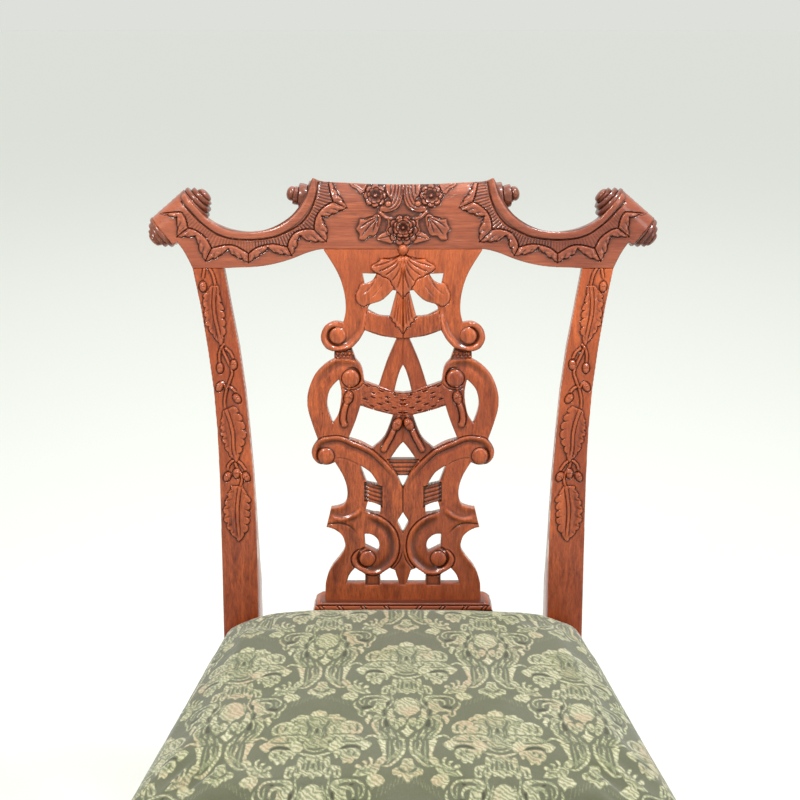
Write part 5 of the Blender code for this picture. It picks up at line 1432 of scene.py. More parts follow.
# Filled shapes: tone, how much lighter their rims are, outline
FIGURES = [
    (0.62, 0.5, [(24, 67), (30, 68), (33, 74), (32, 78), (27, 77), (23.5, 72)]),
    (0.55, 0.4, [(30, 76), (38, 77), (47, 81), (52, 88), (49, 91), (40, 89), (33, 88), (29, 82)]),
    (0.80, 0.3, [
        (23.5, 41), (30, 38), (35, 41), (31.5, 47), (29.3, 53), (28, 59), (26.5, 62), (27, 66),
        (23.5, 66), (24, 54),
    ]),
    (0.95, 0.1, [
        (35, 71), (37, 68), (39.5, 66.5), (39.3, 70), (37.7, 74), (39.3, 78), (42.5, 82), (43, 84.5),
        (39.5, 82.5), (36.6, 78),
    ]),
    (0.85, 0.1, [
        (40.5, 73.5), (44, 71.5), (46, 73.5), (43, 76), (43.6, 80), (46, 84), (42.5, 82), (41, 78),
    ]),
    (0.82, 0.2, [(46, 79), (49, 75.5), (52.3, 78.5), (50.5, 81.5), (47.5, 81), (46.3, 84), (45.2, 81.5)]),
    (0.98, 0.0, [(47.8, 84), (50, 82.6), (51.8, 86), (54, 90), (51, 90), (48.8, 87)]),
    (0.60, 0.5, [
        (3.5, 69.5), (8, 70), (9, 75), (11, 79.5), (15, 81), (18, 84.5), (16.5, 89.5), (13, 88.5),
        (12, 91.5), (8.5, 90.5), (6, 93.8), (3.5, 96.5), (-3, 92), (-10, 80), (-1, 70),
    ]),
    (0.74, 0.3, [
        (24.3, 95), (27, 90), (32, 88.3), (38, 89), (41, 92), (40.5, 97), (37.5, 99.5), (36, 103),
        (33.5, 99.5), (28, 98.7),
    ]),
    (0.80, 0.3, [
        (37, 50.5), (39, 47.3), (43, 44.6), (48, 42.6), (54, 41), (62, 40.5), (69, 42.5), (75, 46),
        (78, 51), (78, 57), (75, 59), (70, 57.5), (66, 54.5), (60, 52), (53, 52), (48.5, 54.5),
        (45.5, 58.5), (41.5, 57),
    ]),
    (0.62, 0.5, [
        (47.6, 60), (50, 56.5), (55, 55), (60, 56), (66, 56.5), (70, 58), (73, 60.5), (71.5, 64.5),
        (70, 69), (67.3, 67.5), (64.3, 70), (63, 76), (59, 73.2), (57, 76), (53.5, 72.8), (53.3, 69.2),
        (50, 70), (47.6, 65),
    ]),
    (0.66, 0.4, [
        (64.2, 91), (64.2, 84), (65.5, 78.7), (70, 77.5), (74, 76.5), (73, 82), (71, 86), (71, 91),
    ]),
    (0.60, 0.4, [
        (75, 92.5), (72.6, 88), (73.4, 84), (75, 80), (74.5, 75), (76, 66), (80, 68), (80.5, 75),
        (79.5, 80), (80.7, 84), (79.3, 88), (78, 91.5),
    ]),
    (0.58, 0.4, [
        (82, 90.5), (80.8, 86), (82, 80), (82, 74), (82, 67), (90, 64), (98, 67), (98, 80), (99, 86),
        (98, 90.5), (94, 89), (90, 92.5), (86, 89),
    ]),
    (0.52, 0.3, [
        (78, 50), (79.5, 44.5), (84, 39.5), (90, 38), (96, 39.5), (100.5, 44.5), (102, 50), (100.5, 55.5),
        (96, 59), (90, 60.3), (84, 59), (79.5, 55.5),
    ]),
    (0.80, 0.1, [
        (73, 60), (79, 60.5), (86, 62.8), (90, 63.2), (94, 62.8), (101, 60.5), (101, 64), (94, 66.3),
        (90, 67), (86, 66.3), (79, 64),
    ]),
    (0.68, 0.3, [
        (58, 92), (66, 93), (72, 95), (73, 101), (70, 104), (69, 112), (66.5, 117), (67, 123), (62, 122),
        (59, 119), (52, 119), (49, 121), (46, 118), (52, 114.5), (57, 111), (58.5, 105), (61, 100),
        (54, 97), (49, 93.5),
    ]),
    (0.72, 0.2, [
        (90, 96), (84.5, 98), (80.6, 102), (79.6, 108), (78, 112), (77.3, 117), (80, 119.5), (82, 123),
        (86, 124), (88.3, 127.5), (90, 131), (92, 127.5), (94, 124), (98, 123), (100, 119.5), (102, 112),
        (100, 102), (95, 98),
    ]),
    (0.70, 0.3, [
        (70, 125), (72, 116), (75, 113), (76.3, 118), (76.5, 123), (80.5, 127), (77, 126.5), (73, 129),
        (71, 133),
    ]),
    (0.68, 0.3, [
        (72.6, 132), (76.5, 127.5), (80, 131), (80.3, 137.5), (82, 142), (80, 146), (77.3, 143),
        (74.6, 139.5),
    ]),
    (0.74, 0.2, [
        (81.3, 129), (84, 127.3), (87.5, 129), (89, 133), (87.3, 138), (85, 141), (82.3, 140),
        (81.3, 135.5),
    ]),
    (0.92, 0.1, [
        (90, 134), (88.5, 140), (87.5, 144), (83.5, 147.5), (85.5, 150), (87.5, 153), (90, 156),
        (92.5, 153), (94.5, 150), (96.5, 147.5), (92.5, 144), (91.5, 140),
    ]),
    (0.62, 0.4, [(82, 162), (83.5, 156), (86, 157), (90, 161), (94, 157), (96.5, 156), (98, 162)]),
    (0.90, 0.1, [
        (50, 123), (54.6, 123), (56.2, 127), (54, 131), (53.3, 134), (52, 138), (50, 134.5), (48.6, 130),
        (51, 126.5),
    ]),
    (0.55, 0.4, [
        (58, 124), (64, 124), (67, 127), (63, 130), (61, 137), (63, 145), (68, 152), (73, 158), (68, 158),
        (60, 149), (57, 138),
    ]),
    (0.55, 0.3, [
        (3.5, 123), (11, 123), (14, 127), (21, 130), (27, 133), (30, 138), (28, 146), (31, 150),
        (42, 152), (46, 162), (-20, 162), (-20, 130), (-6, 123),
    ]),
    (0.86, 0.2, [
        (3.5, 113.6), (6, 116), (9, 116.5), (11, 119), (12, 122), (10.5, 125), (7, 124), (3.5, 125),
        (0, 124), (-3.5, 125), (-5, 122), (-4, 119), (-2, 116.5), (1, 116),
    ]),
    (0.74, 0.3, [
        (12.8, 122.5), (17, 122), (21, 121), (24, 122), (25, 125), (29, 127), (30.6, 130.5),
        (28.5, 132.5), (25, 129.5), (21, 130.5), (17, 127.5), (13.5, 129),
    ]),
    (0.66, 0.5, [
        (27, 134), (34, 131.3), (40, 132.7), (45, 136.5), (47.6, 142), (46.5, 148), (44, 151.2),
        (41, 149.5), (38, 151), (34, 149), (31, 150), (29.3, 144), (26.5, 139),
    ]),
    (0.70, 0.2, [
        (13, 149), (14, 142), (17, 137.7), (21, 135.6), (25.5, 138), (28.3, 143), (30, 149.5),
        (25, 150.3), (20, 149.6), (15, 152),
    ]),
    (0.64, 0.3, [(10, 163), (12.5, 154), (20, 151.5), (30, 152), (38, 151.8), (42, 155), (44, 163)]),
]
# Ribbons that taper at both ends: width, tone, line
RIBBONS = [
    (3.4, 0.90, [
        (11, 40), (7.4, 46), (6.8, 52), (6.6, 57), (8.2, 63), (11.8, 69), (16, 74.5), (21, 78.8),
        (27, 79),
    ]),
    (2.6, 0.92, [(14.3, 44), (16, 50), (14.6, 56), (14.2, 61), (16.5, 66), (19.5, 71), (22.5, 76)]),
    (2.4, 0.62, [(11.5, 47), (10.7, 53), (11, 59), (13.5, 65), (17.5, 70)]),
    (2.4, 0.60, [(20, 44), (20.2, 52), (20, 60), (20.3, 68), (22.5, 73)]),
    (2.2, 0.95, [(62, 94.5), (54, 94.2), (47, 96), (42.8, 100.5), (43.6, 106), (47.5, 109.3)]),
    (1.9, 0.80, [(48.8, 99), (47, 103), (48, 107.5)]),
    (2.8, 0.88, [(67, 99.5), (60, 100), (54.5, 101.5), (52, 105.5), (53.5, 108.5)]),
    (3.2, 0.92, [(60, 103), (59.6, 108), (57.5, 113), (52.5, 116), (48, 117.5), (48.5, 122), (46, 126)]),
    (2.6, 0.98, [
        (39, 102.5), (37.6, 107), (39.4, 112), (43, 116.5), (43.2, 120), (43.6, 124), (47, 126),
    ]),
    (1.9, 0.98, [(74, 91.5), (75.2, 97), (76, 103), (74, 108), (71.2, 112), (70.3, 116.5)]),
    (1.6, 0.92, [(81, 97), (79.3, 102), (78, 107), (76.6, 111.5)]),
    (2.8, 0.95, [(64.5, 128), (59.3, 132), (56.5, 137), (58.3, 143), (60, 148), (64, 153), (67, 159)]),
    (2.0, 0.98, [(69, 125.5), (66.8, 130), (65.6, 136), (66.6, 141.5)]),
    (1.9, 0.86, [(62.3, 133), (61.5, 138), (63, 143)]),
    (1.9, 0.96, [(69, 142), (68.5, 146), (71.5, 149)]),
    (2.0, 0.80, [(63.5, 146), (67.5, 151), (71.5, 158)]),
    (2.2, 0.96, [(73.5, 144), (75.3, 150), (79, 157)]),
    (1.8, 0.85, [(72, 150), (74.5, 155), (76, 160)]),
    (2.2, 0.80, [(80, 149), (82, 154), (82, 158)]),
    (3.0, 0.96, [(50, 157), (54.5, 153.5), (60, 154.5), (64, 158), (66, 163)]),
    (2.0, 0.95, [(8.4, 154), (7.2, 147), (5.6, 142), (3.5, 139.3)]),
    (1.6, 0.70, [(12, 155), (10.5, 149), (11, 143)]),
]
# Dark creases: width, line
CREASES = [
    (1.8, [(46, 57), (48.3, 53.8), (53, 51.4), (59, 51.4), (64, 53.8), (66.5, 56.5)]),
    (1.2, [(58.5, 57.5), (58.6, 61.5)]),
    (1.2, [(67, 64), (67, 68.5)]),
    (1.0, [(53, 60), (54, 66)]),
    (1.4, [(45, 111), (48.5, 112.8), (52, 110.6), (54.5, 113.3)]),
    (1.3, [(70.3, 103), (71, 106), (70.2, 109.5)]),
    (1.3, [(67.3, 114.5), (66, 119), (68, 123.5)]),
    (1.8, [(69.6, 129.5), (69.2, 135), (71, 141)]),
    (1.1, [(52, 97.3), (60, 97.3), (66, 99)]),
    (1.2, [(86, 70), (85, 77), (84.5, 84)]),
    (1.4, [(90, 74), (90, 81)]),
    (1.1, [(68.5, 82), (67.5, 90)]),
    (1.0, [(76.5, 78), (76.2, 86)]),
    (1.0, [(80.5, 45), (90, 42.5), (99.5, 45)]),
    (1.0, [(81.5, 54), (90, 56.5), (98.5, 54)]),
    (1.2, [(44, 44), (55, 46.5), (68, 46.5)]),
    (1.2, [(12.5, 80.5), (8, 85), (3.5, 86.5)]),
    (1.8, [(3.5, 141.5), (3.5, 150)]),
    (1.0, [(14, 130), (13, 136), (9, 143)]),
    (1.1, [(40.5, 136), (42.5, 142), (41, 148)]),
    (0.9, [(33, 138), (35.5, 146)]),
    (0.9, [(20, 140), (21.5, 148)]),
    (0.9, [(30, 160), (31, 154)]),
    (0.9, [(20, 160), (21.5, 154)]),
    (1.0, [(84, 134), (84, 138)]),
    (1.0, [(77, 133), (77.5, 140)]),
]


def damask():
    """The figure's tone over half a repeat: 0 is ground, below it a dark line, and 1 is cream."""
    margin, darkest = 6, -0.25
    rows = np.arange(TOP - margin, TOP + DROP + margin, THREAD_STEP)
    tile = Relief(OTHER_AXIS - 4, AXIS + 4, rows, THREAD_STEP)

    def outlined(heights, far):
        return np.maximum(heights - 1.3 * np.clip(1 - far / 1.1, 0, 1), darkest)

    for tone, rim, loop in FIGURES:
        cut, far, _, inside = tile.measure(spline(loop, 4, True), 2, True)
        ribs = 0.17 * np.sin(2.3 * tile.X[cut] + 0.9 * np.sin(0.4 * tile.S[cut]) + 0.15 * tile.S[cut])
        fill = tone + ribs + rim * np.exp(-((far / 1.5) ** 2))
        tile.H[cut] = np.where(inside, fill, outlined(tile.H[cut], far))
    for width, tone, path in RIBBONS:
        cut, far, along, _ = tile.measure(spline(path, 5), width + 2)
        reach = 0.5 * width * (0.45 + 1.2 * np.sqrt(np.clip(along * (1 - along), 0, 1)))
        fill = tone + 0.08 * np.sin(3 * tile.S[cut])
        tile.H[cut] = np.where(far < reach, fill, outlined(tile.H[cut], far - reach))
    for width, path in CREASES:
        cut, far, along, _ = tile.measure(spline(path, 5), width + 1)
        tile.H[cut] -= np.clip(1 - (far / width) ** 2, 0, 1) * fading(along, (0.15, 0.15))
    fringe = spline([(4, 97.5), (10, 98), (15, 100.5), (20, 103.5), (25, 106.5), (31, 108.5)], 8)
    for x, s in spaced(fringe, 8):
        cut, far, along, _ = tile.measure(np.array([(x - 1.8, s - 9), (x + 0.8, s)]), 3)
        tile.H[cut] = np.maximum(tile.H[cut], 0.85 * np.clip(1.2 - far / 0.6, 0, 1) * (0.8 + 0.2 * along))
    return tile


def cloth_tone(x, y):
    """The figure's tone at points of the cloth, in mm, folded back onto the half repeat."""
    half = AXIS - OTHER_AXIS
    course = np.floor((y - TOP) / DROP)
    down = y - DROP * course
    across = np.abs((x - OTHER_AXIS + half) % (2 * half) - half)
    across = np.where(course % 2 == 0, across, half - across) + OTHER_AXIS
    tile = damask()
    field = np.clip(tile.blurred(0.3), -0.3, 1.1)
    column = np.clip((across - tile.x[0]) / THREAD_STEP, 0, len(tile.x) - 1.001)
    row = np.clip((down - tile.s[0]) / THREAD_STEP, 0, len(tile.s) - 1.001)
    c, r = column.astype(int), row.astype(int)
    u, v = column - c, row - r
    upper = field[r, c] * (1 - u) + field[r, c + 1] * u
    lower = field[r + 1, c] * (1 - u) + field[r + 1, c + 1] * u
    return upper * (1 - v) + lower * v


def seat_half(y):
    """Half the width of the drop-in seat's frame, at a depth."""
    share = (BACK_FRONT_Y - y) / (BACK_FRONT_Y - FRONT_Y - LEG_SQUARE)
    return 0.2058 + 0.0575 * share


def seat_loop(inset, radius, z):
    """Points round the drop-in seat, in plan, its corners rounded to radius."""
    half = (SEAT_REAR - SEAT_FRONT) / 2 - inset
    corners = []
    for k in range(4):
        across = 1 if k in (0, 3) else -1
        deep = 1 if k in (0, 1) else -1
        turn = np.radians(90 * k + np.linspace(0, 90, 9))
        y = SEAT_MIDDLE + deep * (half - radius * (1 - np.abs(np.sin(turn))))
        x = across * (seat_half(y) - inset - radius * (1 - np.abs(np.cos(turn))))
        corners.append(np.stack([x, y], 1))
    share = np.linspace(0, 1, 22)[1:-1, None]
    pieces = []
    for k in range(4):
        a, b = corners[k][-1], corners[(k + 1) % 4][0]
        pieces += [corners[k], a + (b - a) * share]
    loop = np.vstack(pieces)
    return np.column_stack([loop, np.full(len(loop), z)])


def evaluated_mesh(obj):
    graph = bpy.context.evaluated_depsgraph_get()
    return bpy.data.meshes.new_from_object(obj.evaluated_get(graph), depsgraph=graph)


def apply_modifier(obj, kind, **settings):
    """Adds a modifier, keeps the mesh that it makes, and removes it."""
    modifier = obj.modifiers.new(kind.lower(), kind)
    for key, value in settings.items():
        setattr(modifier, key, value)
    made = evaluated_mesh(obj)
    obj.modifiers.clear()
    obj.data = made


def points_of(mesh):
    points = np.empty(3 * len(mesh.vertices), np.float32)
    mesh.vertices.foreach_get("co", points)
    return points.reshape(-1, 3).astype(float)


def put_points(mesh, points):
    mesh.vertices.foreach_set("co", points.astype(np.float32).ravel())
    mesh.update()


def inflate(obj, pinned_below, cap):
    """Swells a closed form as stuffed cloth, no point moving further than the cap."""
    start = points_of(obj.data)
    pins = obj.vertex_groups.new(name="pins")
    pins.add([int(i) for i in np.flatnonzero(start[:, 2] < pinned_below)], 1.0, "REPLACE")
    cloth = obj.modifiers.new("cloth", "CLOTH")
    for key, value in STUFFING.items():
        setattr(cloth.settings, key, value)
    cloth.settings.effector_weights.gravity = 0
    cloth.settings.vertex_group_mass = "pins"
    cloth.point_cache.frame_start = 1
    cloth.point_cache.frame_end = SWELL_FRAMES
    for step in range(1, SWELL_FRAMES + 1):
        bpy.context.scene.frame_set(step)
    swollen = points_of(evaluated_mesh(obj))
    obj.modifiers.clear()
    bpy.context.scene.frame_set(1)
    move = swollen - start
    far = np.linalg.norm(move, axis=1, keepdims=True)
    put_points(obj.data, start + move * np.minimum(1, cap / np.maximum(far, 1e-9)))
    obj.vertex_groups.clear()


def make_cushion():
    """The stuffed and covered top, swollen as cloth, and the cover turned in under the frame."""
    low = COVER_BOTTOM - 0.003
    rings = [seat_loop(CLOTH_INSET, 0.006, low)]
    for height, move, radius in RINGS:
        rings.append(seat_loop(CLOTH_INSET + move * MM, radius * MM, RAIL_TOP + height * MM))
    ends = [np.array([[0, SEAT_MIDDLE, z]]) for z in (low, RAIL_TOP + PAD_TOP * MM)]
    cushion = mesh_object("seat_cushion", *tube(rings, ends))
    apply_modifier(cushion, "REMESH", mode="VOXEL", voxel_size=0.0052)
    apply_modifier(cushion, "SMOOTH", factor=0.5, iterations=4)
    inflate(cushion, RAIL_TOP + 0.012, 0.006)
    round_crown(cushion)
    trim_underside(cushion)
    apply_modifier(cushion, "SUBSURF", levels=2, render_levels=2)
    weave_figure(cushion.data)
    turn_cover_in(cushion)
    cushion.data.shade_smooth()
    settle(cushion, "damask", "seat_fabric", "seat_cover", "seat_foam", body="slip_seat")


def round_crown(obj):
    """Lets the stuffing lie a little higher in the middle, and lower and narrower at the sides."""
    rise, level_at, drawn_in = 0.0022, 0.118, 0.018
    points = points_of(obj.data)
    share = np.clip((points[:, 2] - RAIL_TOP - 0.010) / 0.045, 0, 1)
    points[:, 2] += rise * share * (1 - np.minimum(np.abs(points[:, 0]) / level_at, 1.8) ** 2)
    points[:, 0] *= 1 - drawn_in * share
    put_points(obj.data, points)


def trim_underside(obj):
    """Cuts the pad off where its cover turns in under the frame."""
    bm = bmesh.new()
    bm.from_mesh(obj.data)
    everything = bm.verts[:] + bm.edges[:] + bm.faces[:]
    plane = {"plane_co": (0, 0, COVER_BOTTOM), "plane_no": (0, 0, 1), "clear_inner": True}
    bmesh.ops.bisect_plane(bm, geom=everything, dist=1e-6, **plane)
    bmesh.ops.remove_doubles(bm, verts=bm.verts, dist=0.0004)
    bm.to_mesh(obj.data)
    bm.free()


def weave_figure(mesh):
    """Writes the damask's tone on the points, and lifts its figure a little off the ground. The
    cloth runs on down the sides as if it were laid out flat."""
    side_top, relief = 0.062, 0.00022
    points = points_of(mesh)
    normals = np.empty(points.size, np.float32)
    mesh.vertex_normals.foreach_get("vector", normals)
    normals = normals.reshape(-1, 3)
    drop = np.clip(RAIL_TOP + side_top - points[:, 2], 0, None) / MM
    x = points[:, 0] / MM + normals[:, 0] * drop
    y = (BACK_FRONT_Y - points[:, 1]) / MM - normals[:, 1] * drop
    tone = cloth_tone(x, CLOTH_STRETCH * y)
    points += normals * (relief * np.clip(tone, 0, 1))[:, None]
    put_points(mesh, points)
    layer = mesh.attributes.new("figure", "FLOAT", "POINT")
    layer.data.foreach_set("value", tone.astype(np.float32))


def turn_cover_in(obj):
    """Carries the cut edge in under the frame, and up round it to the underside of the stuffing.
    Each point moves inwards across and in depth by how far out it is."""
    steep, half_wide, half_deep = 1.6, 0.24, 0.2
    bm = bmesh.new()
    bm.from_mesh(obj.data)
    edges = [e for e in bm.edges if e.is_boundary]
    for move, z in TURNED_IN:
        made = bmesh.ops.extrude_edge_only(bm, edges=edges)["geom"]
        edges = [e for e in made if isinstance(e, bmesh.types.BMEdge)]
        for v in {v for e in edges for v in e.verts}:
            v.co.x -= move * max(-1, min(1, steep * v.co.x / half_wide))
            v.co.y -= move * max(-1, min(1, steep * (v.co.y - SEAT_MIDDLE) / half_deep))
            v.co.z = z
    bmesh.ops.contextual_create(bm, geom=edges)
    bmesh.ops.recalc_face_normals(bm, faces=bm.faces)
    bm.to_mesh(obj.data)
    bm.free()


def make_dust_cover():
    """Thin cloth tacked under the seat's frame, with a turned edge and a slight sag."""
    inset, top = DUST_MIDDLE
    corner, sag = 0.004, 0.0004
    rings = [seat_loop(edge, corner, z) for edge, z in (*DUST_EDGE, DUST_MIDDLE)]
    for share in (0.2, 0.45, 0.7, 0.9):
        z = top - sag * math.sin(share * math.pi / 2)
        rings.append(seat_loop(inset + 0.15 * share, corner + 0.03 * share, z))
    count = len(rings[0])
    verts = np.vstack([*rings, [[0, SEAT_MIDDLE, top - sag]]])
    at = np.arange(count) + (len(rings) - 1) * count
    middle = np.stack([np.roll(at, -1), at, np.full(count, len(verts) - 1)], 1)
    cloth = mesh_object("dust_cover_cloth", verts, [ring_faces(len(rings), count)[:, ::-1], middle])
    settle(cloth, "calico", "dust_cloth", "dust_cover", body="slip_seat")


# ---------------------------------------------------------------- rails, blocks and legs

# Height, outward lean of the middle along the diagonal, half width and roundness, in mm
LEG_SHAPE = [
    (440, 0, 23, 0.03),
    (365, 0, 23, 0.03),
    (352, 3, 25, 0.12),
    (335, 8, 27.5, 0.3),
    (310, 9, 27, 0.45),
    (275, 5.5, 22.5, 0.6),
    (235, 1, 18.5, 0.7),
    (190, -2.5, 15.8, 0.8),
    (145, -3.5, 14, 0.9),
    (105, -1, 13, 1.0),
    (80, 3.5, 13.4, 1.0),
    (62, 9, 15.5, 1.0),
    (45, 13, 17, 1.0),
    (30, 14, 15, 1.0),
]
LEG_TOP = LEG_SHAPE[0][0]
FOOT_OUT, BALL_MIDDLE, BALL_RADIUS = 14, 24, 29
# A claw: share of the way from the ankle's middle to the ball's, distance out, height and radius
CLAW = [
    (0.0, 9.5, 128, 1.5),
    (0.1, 9.6, 112, 3.2),
    (0.2, 10.2, 96, 4.6),
    (0.42, 14, 79, 6.6),
    (0.62, 17.5, 70, 5.2),
    (0.85, 22.5, 60, 7.4),
    (0.95, 26.5, 51, 5.4),
    (1.0, 29.8, 41, 6.9),
    (1.0, 31.2, 33, 5.2),
    (1.0, 31.2, 24, 6.0),
    (1.0, 30.2, 17, 4.4),
    (1.0, 28.5, 10, 3.6),
    (1.0, 25.0, 3.5, 1.6),
]


def smoothed_rows(rows, count):
    """Rows of (value, ...) read off smooth curves at evenly spaced steps."""
    at = np.linspace(0, len(rows) - 1, count)
    curves = [spline(list(enumerate(values)), 8) for values in zip(*rows)]
    return np.stack([np.interp(at, curve[:, 0], curve[:, 1]) for curve in curves], 1)


def joined(name, shells):
    """One mesh object from several (points, faces) shells."""
    verts, faces, start = [], [], 0
    for points, groups in shells:
        verts.append(points)
        faces += [group + start for group in groups]
        start += len(points)
    return mesh_object(name, np.vstack(verts), faces)


def make_leg(side):
    """A cabriole leg over a ball and four claws, remeshed as one carved piece."""
    name = "left" if side < 0 else "right"
    out = np.array([side, -1, 0]) * math.sqrt(0.5)
    middle = np.array([side * (FRONT_HALF_WIDTH - LEG_SQUARE / 2), FRONT_Y + LEG_SQUARE / 2, 0])
    angles = 2 * math.pi * np.arange(64) / 64
    round_about = np.stack([np.cos(angles), np.sin(angles), 0 * angles], 1)
    square = 1 / np.abs(round_about).max(1)
    rings = []
    for height, lean, half, soft in smoothed_rows(LEG_SHAPE[::-1], 90):
        reach = half * (square + (1 - square) * min(max(soft, 0.03), 1))
        ring = round_about * reach[:, None] + out * lean + [0, 0, min(height, LEG_TOP)]
        rings.append(middle + ring * MM)
    shells = [tube(rings, [rings[0].mean(0)[None], rings[-1].mean(0)[None]])]

    foot = middle + out * FOOT_OUT * MM
    ball = []
    for tilt in np.radians(np.linspace(-88, 88, 40)):
        height = BALL_MIDDLE + 0.95 * BALL_RADIUS * math.sin(tilt)
        ball.append(foot + (round_about * math.cos(tilt) * BALL_RADIUS + [0, 0, height]) * MM)
    shells.append(tube(ball, [ball[0].mean(0)[None], ball[-1].mean(0)[None]]))

    ankle = middle + out * 0.5 * MM
    for turn in range(4):
        heading = np.array(Matrix.Rotation(turn * math.pi / 2, 3, "Z") @ Vector(out))
        across = np.cross(heading, (0, 0, 1))
        rows = smoothed_rows(CLAW, 60)
        reach = heading * rows[:, 1:2] + np.outer(rows[:, 2], (0, 0, 1))
        line = ankle + rows[:, :1] * (foot - ankle) + reach * MM
        run = np.gradient(line, axis=0)
        run /= np.linalg.norm(run, axis=1, keepdims=True)
        normal = np.cross(across, run)
        sides, tops = np.cos(angles[::4]), np.sin(angles[::4])
        toe = []
        for point, upright, radius in zip(line, normal, rows[:, 3]):
            toe.append(point + (np.outer(sides, across) + np.outer(tops, upright)) * radius * MM)
        shells.append(tube(toe, [line[:1], line[-1:]]))
    leg = joined(f"front_leg_{name}_carved", shells)
    points = points_of(leg.data)
    points[:, 2] = np.maximum(points[:, 2], 0.0002)
    put_points(leg.data, points)
    apply_modifier(leg, "REMESH", mode="VOXEL", voxel_size=0.0013)
    cut_rebate(leg)
    apply_modifier(leg, "SMOOTH", factor=0.5, iterations=3)
    leg.data.shade_smooth()
    leg.data.set_sharp_from_angle(angle=math.radians(50))
    shade_hollows(leg.data)
    settle(leg, "wood_up", "carved_wood", f"front_leg_{name}")


def cut_rebate(leg):
    """Lowers the top of a leg inside the lip, where the drop-in seat rests."""
    rebate, gap, lip_width = 0.428, 0.0027, 0.010
    points = points_of(leg.data)
    beside = seat_half(points[:, 1]) + gap - np.abs(points[:, 0])
    behind = points[:, 1] - FRONT_Y - lip_width
    low = (np.minimum(beside, behind) > 0) & (points[:, 2] > rebate)
    points[low, 2] = rebate + np.maximum(0, points[low, 2] - RAIL_TOP + 0.0005) * 0.2
    put_points(leg.data, points)


def shade_hollows(mesh):
    """Marks the hollows of a carved mesh for the glaze and its painted shade, and its ridges for wear and
    a painted highlight, by how its edges fold.
    """
    bm = bmesh.new()
    bm.from_mesh(mesh)
    fold = np.zeros(len(bm.verts))
    for v in bm.verts:
        middle = sum((e.other_vert(v).co for e in v.link_edges), Vector()) / max(1, len(v.link_edges))
        fold[v.index] = (middle - v.co).dot(v.normal)
    bm.free()
    ends = np.empty(2 * len(mesh.edges), np.int32)
    mesh.edges.foreach_get("vertices", ends)
    ends = ends.reshape(-1, 2)
    for _ in range(6):
        total, share = np.zeros(len(fold)), np.zeros(len(fold))
        for a, b in ((0, 1), (1, 0)):
            np.add.at(total, ends[:, a], fold[ends[:, b]])
            np.add.at(share, ends[:, a], 1)
        fold = 0.4 * fold + 0.6 * total / np.maximum(share, 1)
    layer = mesh.attributes.new("recess", "FLOAT", "POINT")
    layer.data.foreach_set("value", np.clip(fold / 0.00007, -0.6, 1).astype(np.float32))


def softened(node, width, material, slot, body="frame"):
    """Stands for a CAD node: the same form, its arrises eased by hand."""
    piece = bpy.data.objects.new(f"{node}_worked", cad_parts[node].data.copy())
    link(piece)
    bm = bmesh.new()
    bm.from_mesh(piece.data)
    bmesh.ops.remove_doubles(bm, verts=bm.verts, dist=1e-6)
    bmesh.ops.dissolve_limit(bm, angle_limit=math.radians(2), verts=bm.verts, edges=bm.edges)
    bm.to_mesh(piece.data)
    bm.free()
    bevel = {"width": width, "segments": 3, "limit_method": "ANGLE", "angle_limit": math.radians(40)}
    apply_modifier(piece, "BEVEL", **bevel)
    piece.data.shade_smooth()
    piece.data.set_sharp_from_angle(angle=math.radians(28))
    settle(piece, material, slot, node, body=body)


def make_screw(node):
    """A slotted wood screw with a countersunk head and a thread, along the CAD screw's axis."""
    count, slot_half, slot_depth, head_edge = 48, 0.00055, 0.0011, 0.0007
    pitch, thread_height, thread_start, point_length = 0.0016, 0.0004, 0.011, 0.008
    points = points_of(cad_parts[node].data)
    middle = points.mean(0)
    axis = np.linalg.svd(points - middle)[2][0]
    along = (points - middle) @ axis
    radius = np.linalg.norm(points - middle - np.outer(along, axis), axis=1)
    if along[radius.argmax()] < 0:
        axis, along = -axis, -along
    head, length, wide = along.max(), along.max() - along.min(), radius.max()
    aside = np.cross(axis, (0, 0, 1))
    aside /= np.linalg.norm(aside)
    upward = np.cross(aside, axis)
    start = middle + axis * head
    angles = 2 * math.pi * np.arange(count) / count
    shank = 0.46 * wide
    rings = []
    for r in np.linspace(0.04, 0.94, 12):
        slot = (np.abs(np.cos(angles) * r * wide) < slot_half) * slot_depth
        rings.append((np.full(count, r * wide), -slot))
    rings.append((np.full(count, wide), np.full(count, -0.0002)))
    for down in np.linspace(head_edge, length, 130):
        cone = max(shank, wide - (down - head_edge) * 0.85)
        point = min(1.0, (length - down) / point_length)
        wave = np.clip(np.sin(2 * math.pi * (down / pitch) - angles), -0.2, 1)
        thread = thread_height * wave * (down > thread_start)
        radii = np.maximum(0.0001, cone * min(1, point + 0.05) + thread * point)
        rings.append((radii, np.full(count, -down)))
    spokes = np.outer(np.cos(angles), aside) + np.outer(np.sin(angles), upward)
    loops = [start + spokes * r[:, None] + np.outer(d, axis) for r, d in rings]
    verts, faces = tube(loops, [(start - axis * slot_depth)[None], (start - axis * length)[None]])
    screw = mesh_object(f"{node}_slotted", verts, faces)
    settle(screw, "steel", "screw_steel", node)


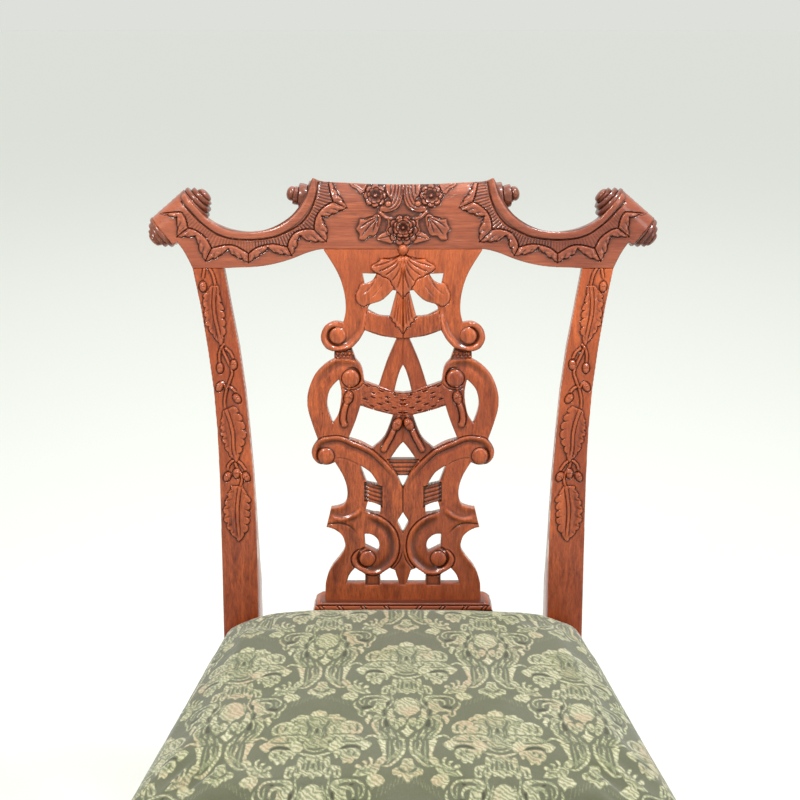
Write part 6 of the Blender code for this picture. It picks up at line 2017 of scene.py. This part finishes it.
def make_frame():
    """Legs, rails, blocks and screws, and the drop-in seat's own frame and webbing."""
    for side in (-1, 1):
        make_leg(side)
    for name in ("front", "rear"):
        softened(f"seat_rail_{name}", 0.0012, "wood_across", "carved_wood")
        softened(f"seat_frame_{name}", 0.0008, "frame_wood", "frame_wood", "slip_seat")
        for side in ("left", "right"):
            softened(f"corner_block_{name}_{side}", 0.0010, "frame_wood", "frame_wood")
            for letter in "ab":
                make_screw(f"corner_block_{name}_{side}_screw_{letter}")
    for name in ("left", "right"):
        softened(f"seat_rail_{name}", 0.0012, "wood_deep", "carved_wood")
        softened(f"seat_frame_{name}", 0.0008, "frame_wood", "frame_wood", "slip_seat")
        for place in ("front", "side"):
            softened(f"knee_block_{name}_{place}", 0.0014, "wood_up", "carved_wood")
    for way in ("lengthwise", "crosswise"):
        for k in (1, 2, 3):
            softened(f"webbing_{way}_{k}", 0.0006, "webbing", "webbing_jute", "slip_seat")


# ---------------------------------------------------------------- floor, light and camera


def make_floor():
    """A plain pale floor that runs on to the horizon."""
    half = 60
    n = Nodes("pale_floor")
    grain = n.noise(n.place(), 260, 4)
    n.set(Base_Color=n.ramp(grain, (0.3, (0.83, 0.85, 0.81)), (0.7, (0.88, 0.90, 0.86))))
    n.set(Roughness=0.85)
    n.set(Normal=n.bump(grain, 0.0004, 0.3))
    mesh = bpy.data.meshes.new("floor")
    corners = [(-half, -half, 0), (half, -half, 0), (half, half, 0), (-half, half, 0)]
    mesh.from_pydata(corners, [], [(0, 1, 2, 3)])
    mesh.materials.append(n.material)
    floor = bpy.data.objects.new("floor", mesh)
    link(floor)


def make_world():
    """A soft room: dim in front, bright above, and as pale as the floor at the far horizon."""
    world = bpy.data.worlds.new("soft room")
    world.use_nodes = True
    tree = world.node_tree
    where = tree.nodes.new("ShaderNodeTexCoord")
    split = tree.nodes.new("ShaderNodeSeparateXYZ")
    sweep = tree.nodes.new("ShaderNodeValToRGB")
    elements = sweep.color_ramp.elements
    levels = ((0.0, 0.54), (0.45, 0.86), (0.80, 0.86), (0.94, 0.745))
    while len(elements) < len(levels):
        elements.new(0.5)
    for element, (position, level) in zip(elements, levels):
        element.position = position
        element.color = (0.975 * level, level, 0.955 * level, 1)
    tree.links.new(where.outputs["Generated"], split.inputs[0])
    tree.links.new(split.outputs[1], sweep.inputs[0])
    tree.links.new(sweep.outputs[0], tree.nodes["Background"].inputs["Color"])
    bpy.context.scene.world = world


def make_lights():
    """A broad overhead light, and four soft lamps."""
    sun = bpy.data.lights.new("overhead", "SUN")
    sun.energy = 0.6
    sun.angle = math.radians(70)
    lamp = bpy.data.objects.new("overhead", sun)
    lamp.rotation_euler = (math.radians(-12), 0, 0)
    link(lamp)
    for name, place, aim, size, power, colour in (
        ("key", (-0.62, -0.72, 1.85), (0, 0.15, 0.75), 0.34, 15, (1.0, 0.97, 0.92)),
        ("fill", (1.7, -1.5, 1.7), (0, 0.1, 0.6), 1.2, 15, (0.95, 0.98, 1.0)),
        ("strip", (0.5, -0.1, 2.1), (0, 0.2, 0.9), 0.25, 18, (0.95, 0.97, 1.0)),
        ("floor wash", (0.0, 3.0, 3.4), (0, 3.2, 0), 3.0, 22, (1.0, 1.0, 0.98)),
    ):
        light = bpy.data.lights.new(name, "AREA")
        light.size = size
        light.energy = power
        light.color = colour
        lamp = bpy.data.objects.new(name, light)
        lamp.location = place
        lamp.rotation_euler = (Vector(aim) - Vector(place)).to_track_quat("-Z", "Y").to_euler()
        link(lamp)


def make_camera():
    """The camera looks down at the back from in front, and only a little of the seat shows."""
    distance, height, downwards = 1.2937, 1.173, 18.2
    data = bpy.data.cameras.new("camera")
    data.lens = 54
    data.sensor_width = 36
    camera = bpy.data.objects.new("camera", data)
    camera.location = (-0.0035, BACK_FRONT_Y - distance, height)
    camera.rotation_euler = (math.radians(90 - downwards), 0, 0)
    link(camera)
    bpy.context.scene.camera = camera
    bpy.context.scene.view_settings.view_transform = "Standard"


# ---------------------------------------------------------------- the whole scene

make_crest()
make_splat()
make_bead()
make_posts()
make_volutes()
make_shoe()
make_cushion()
make_dust_cover()
make_frame()
make_floor()
make_world()
make_lights()
make_camera()
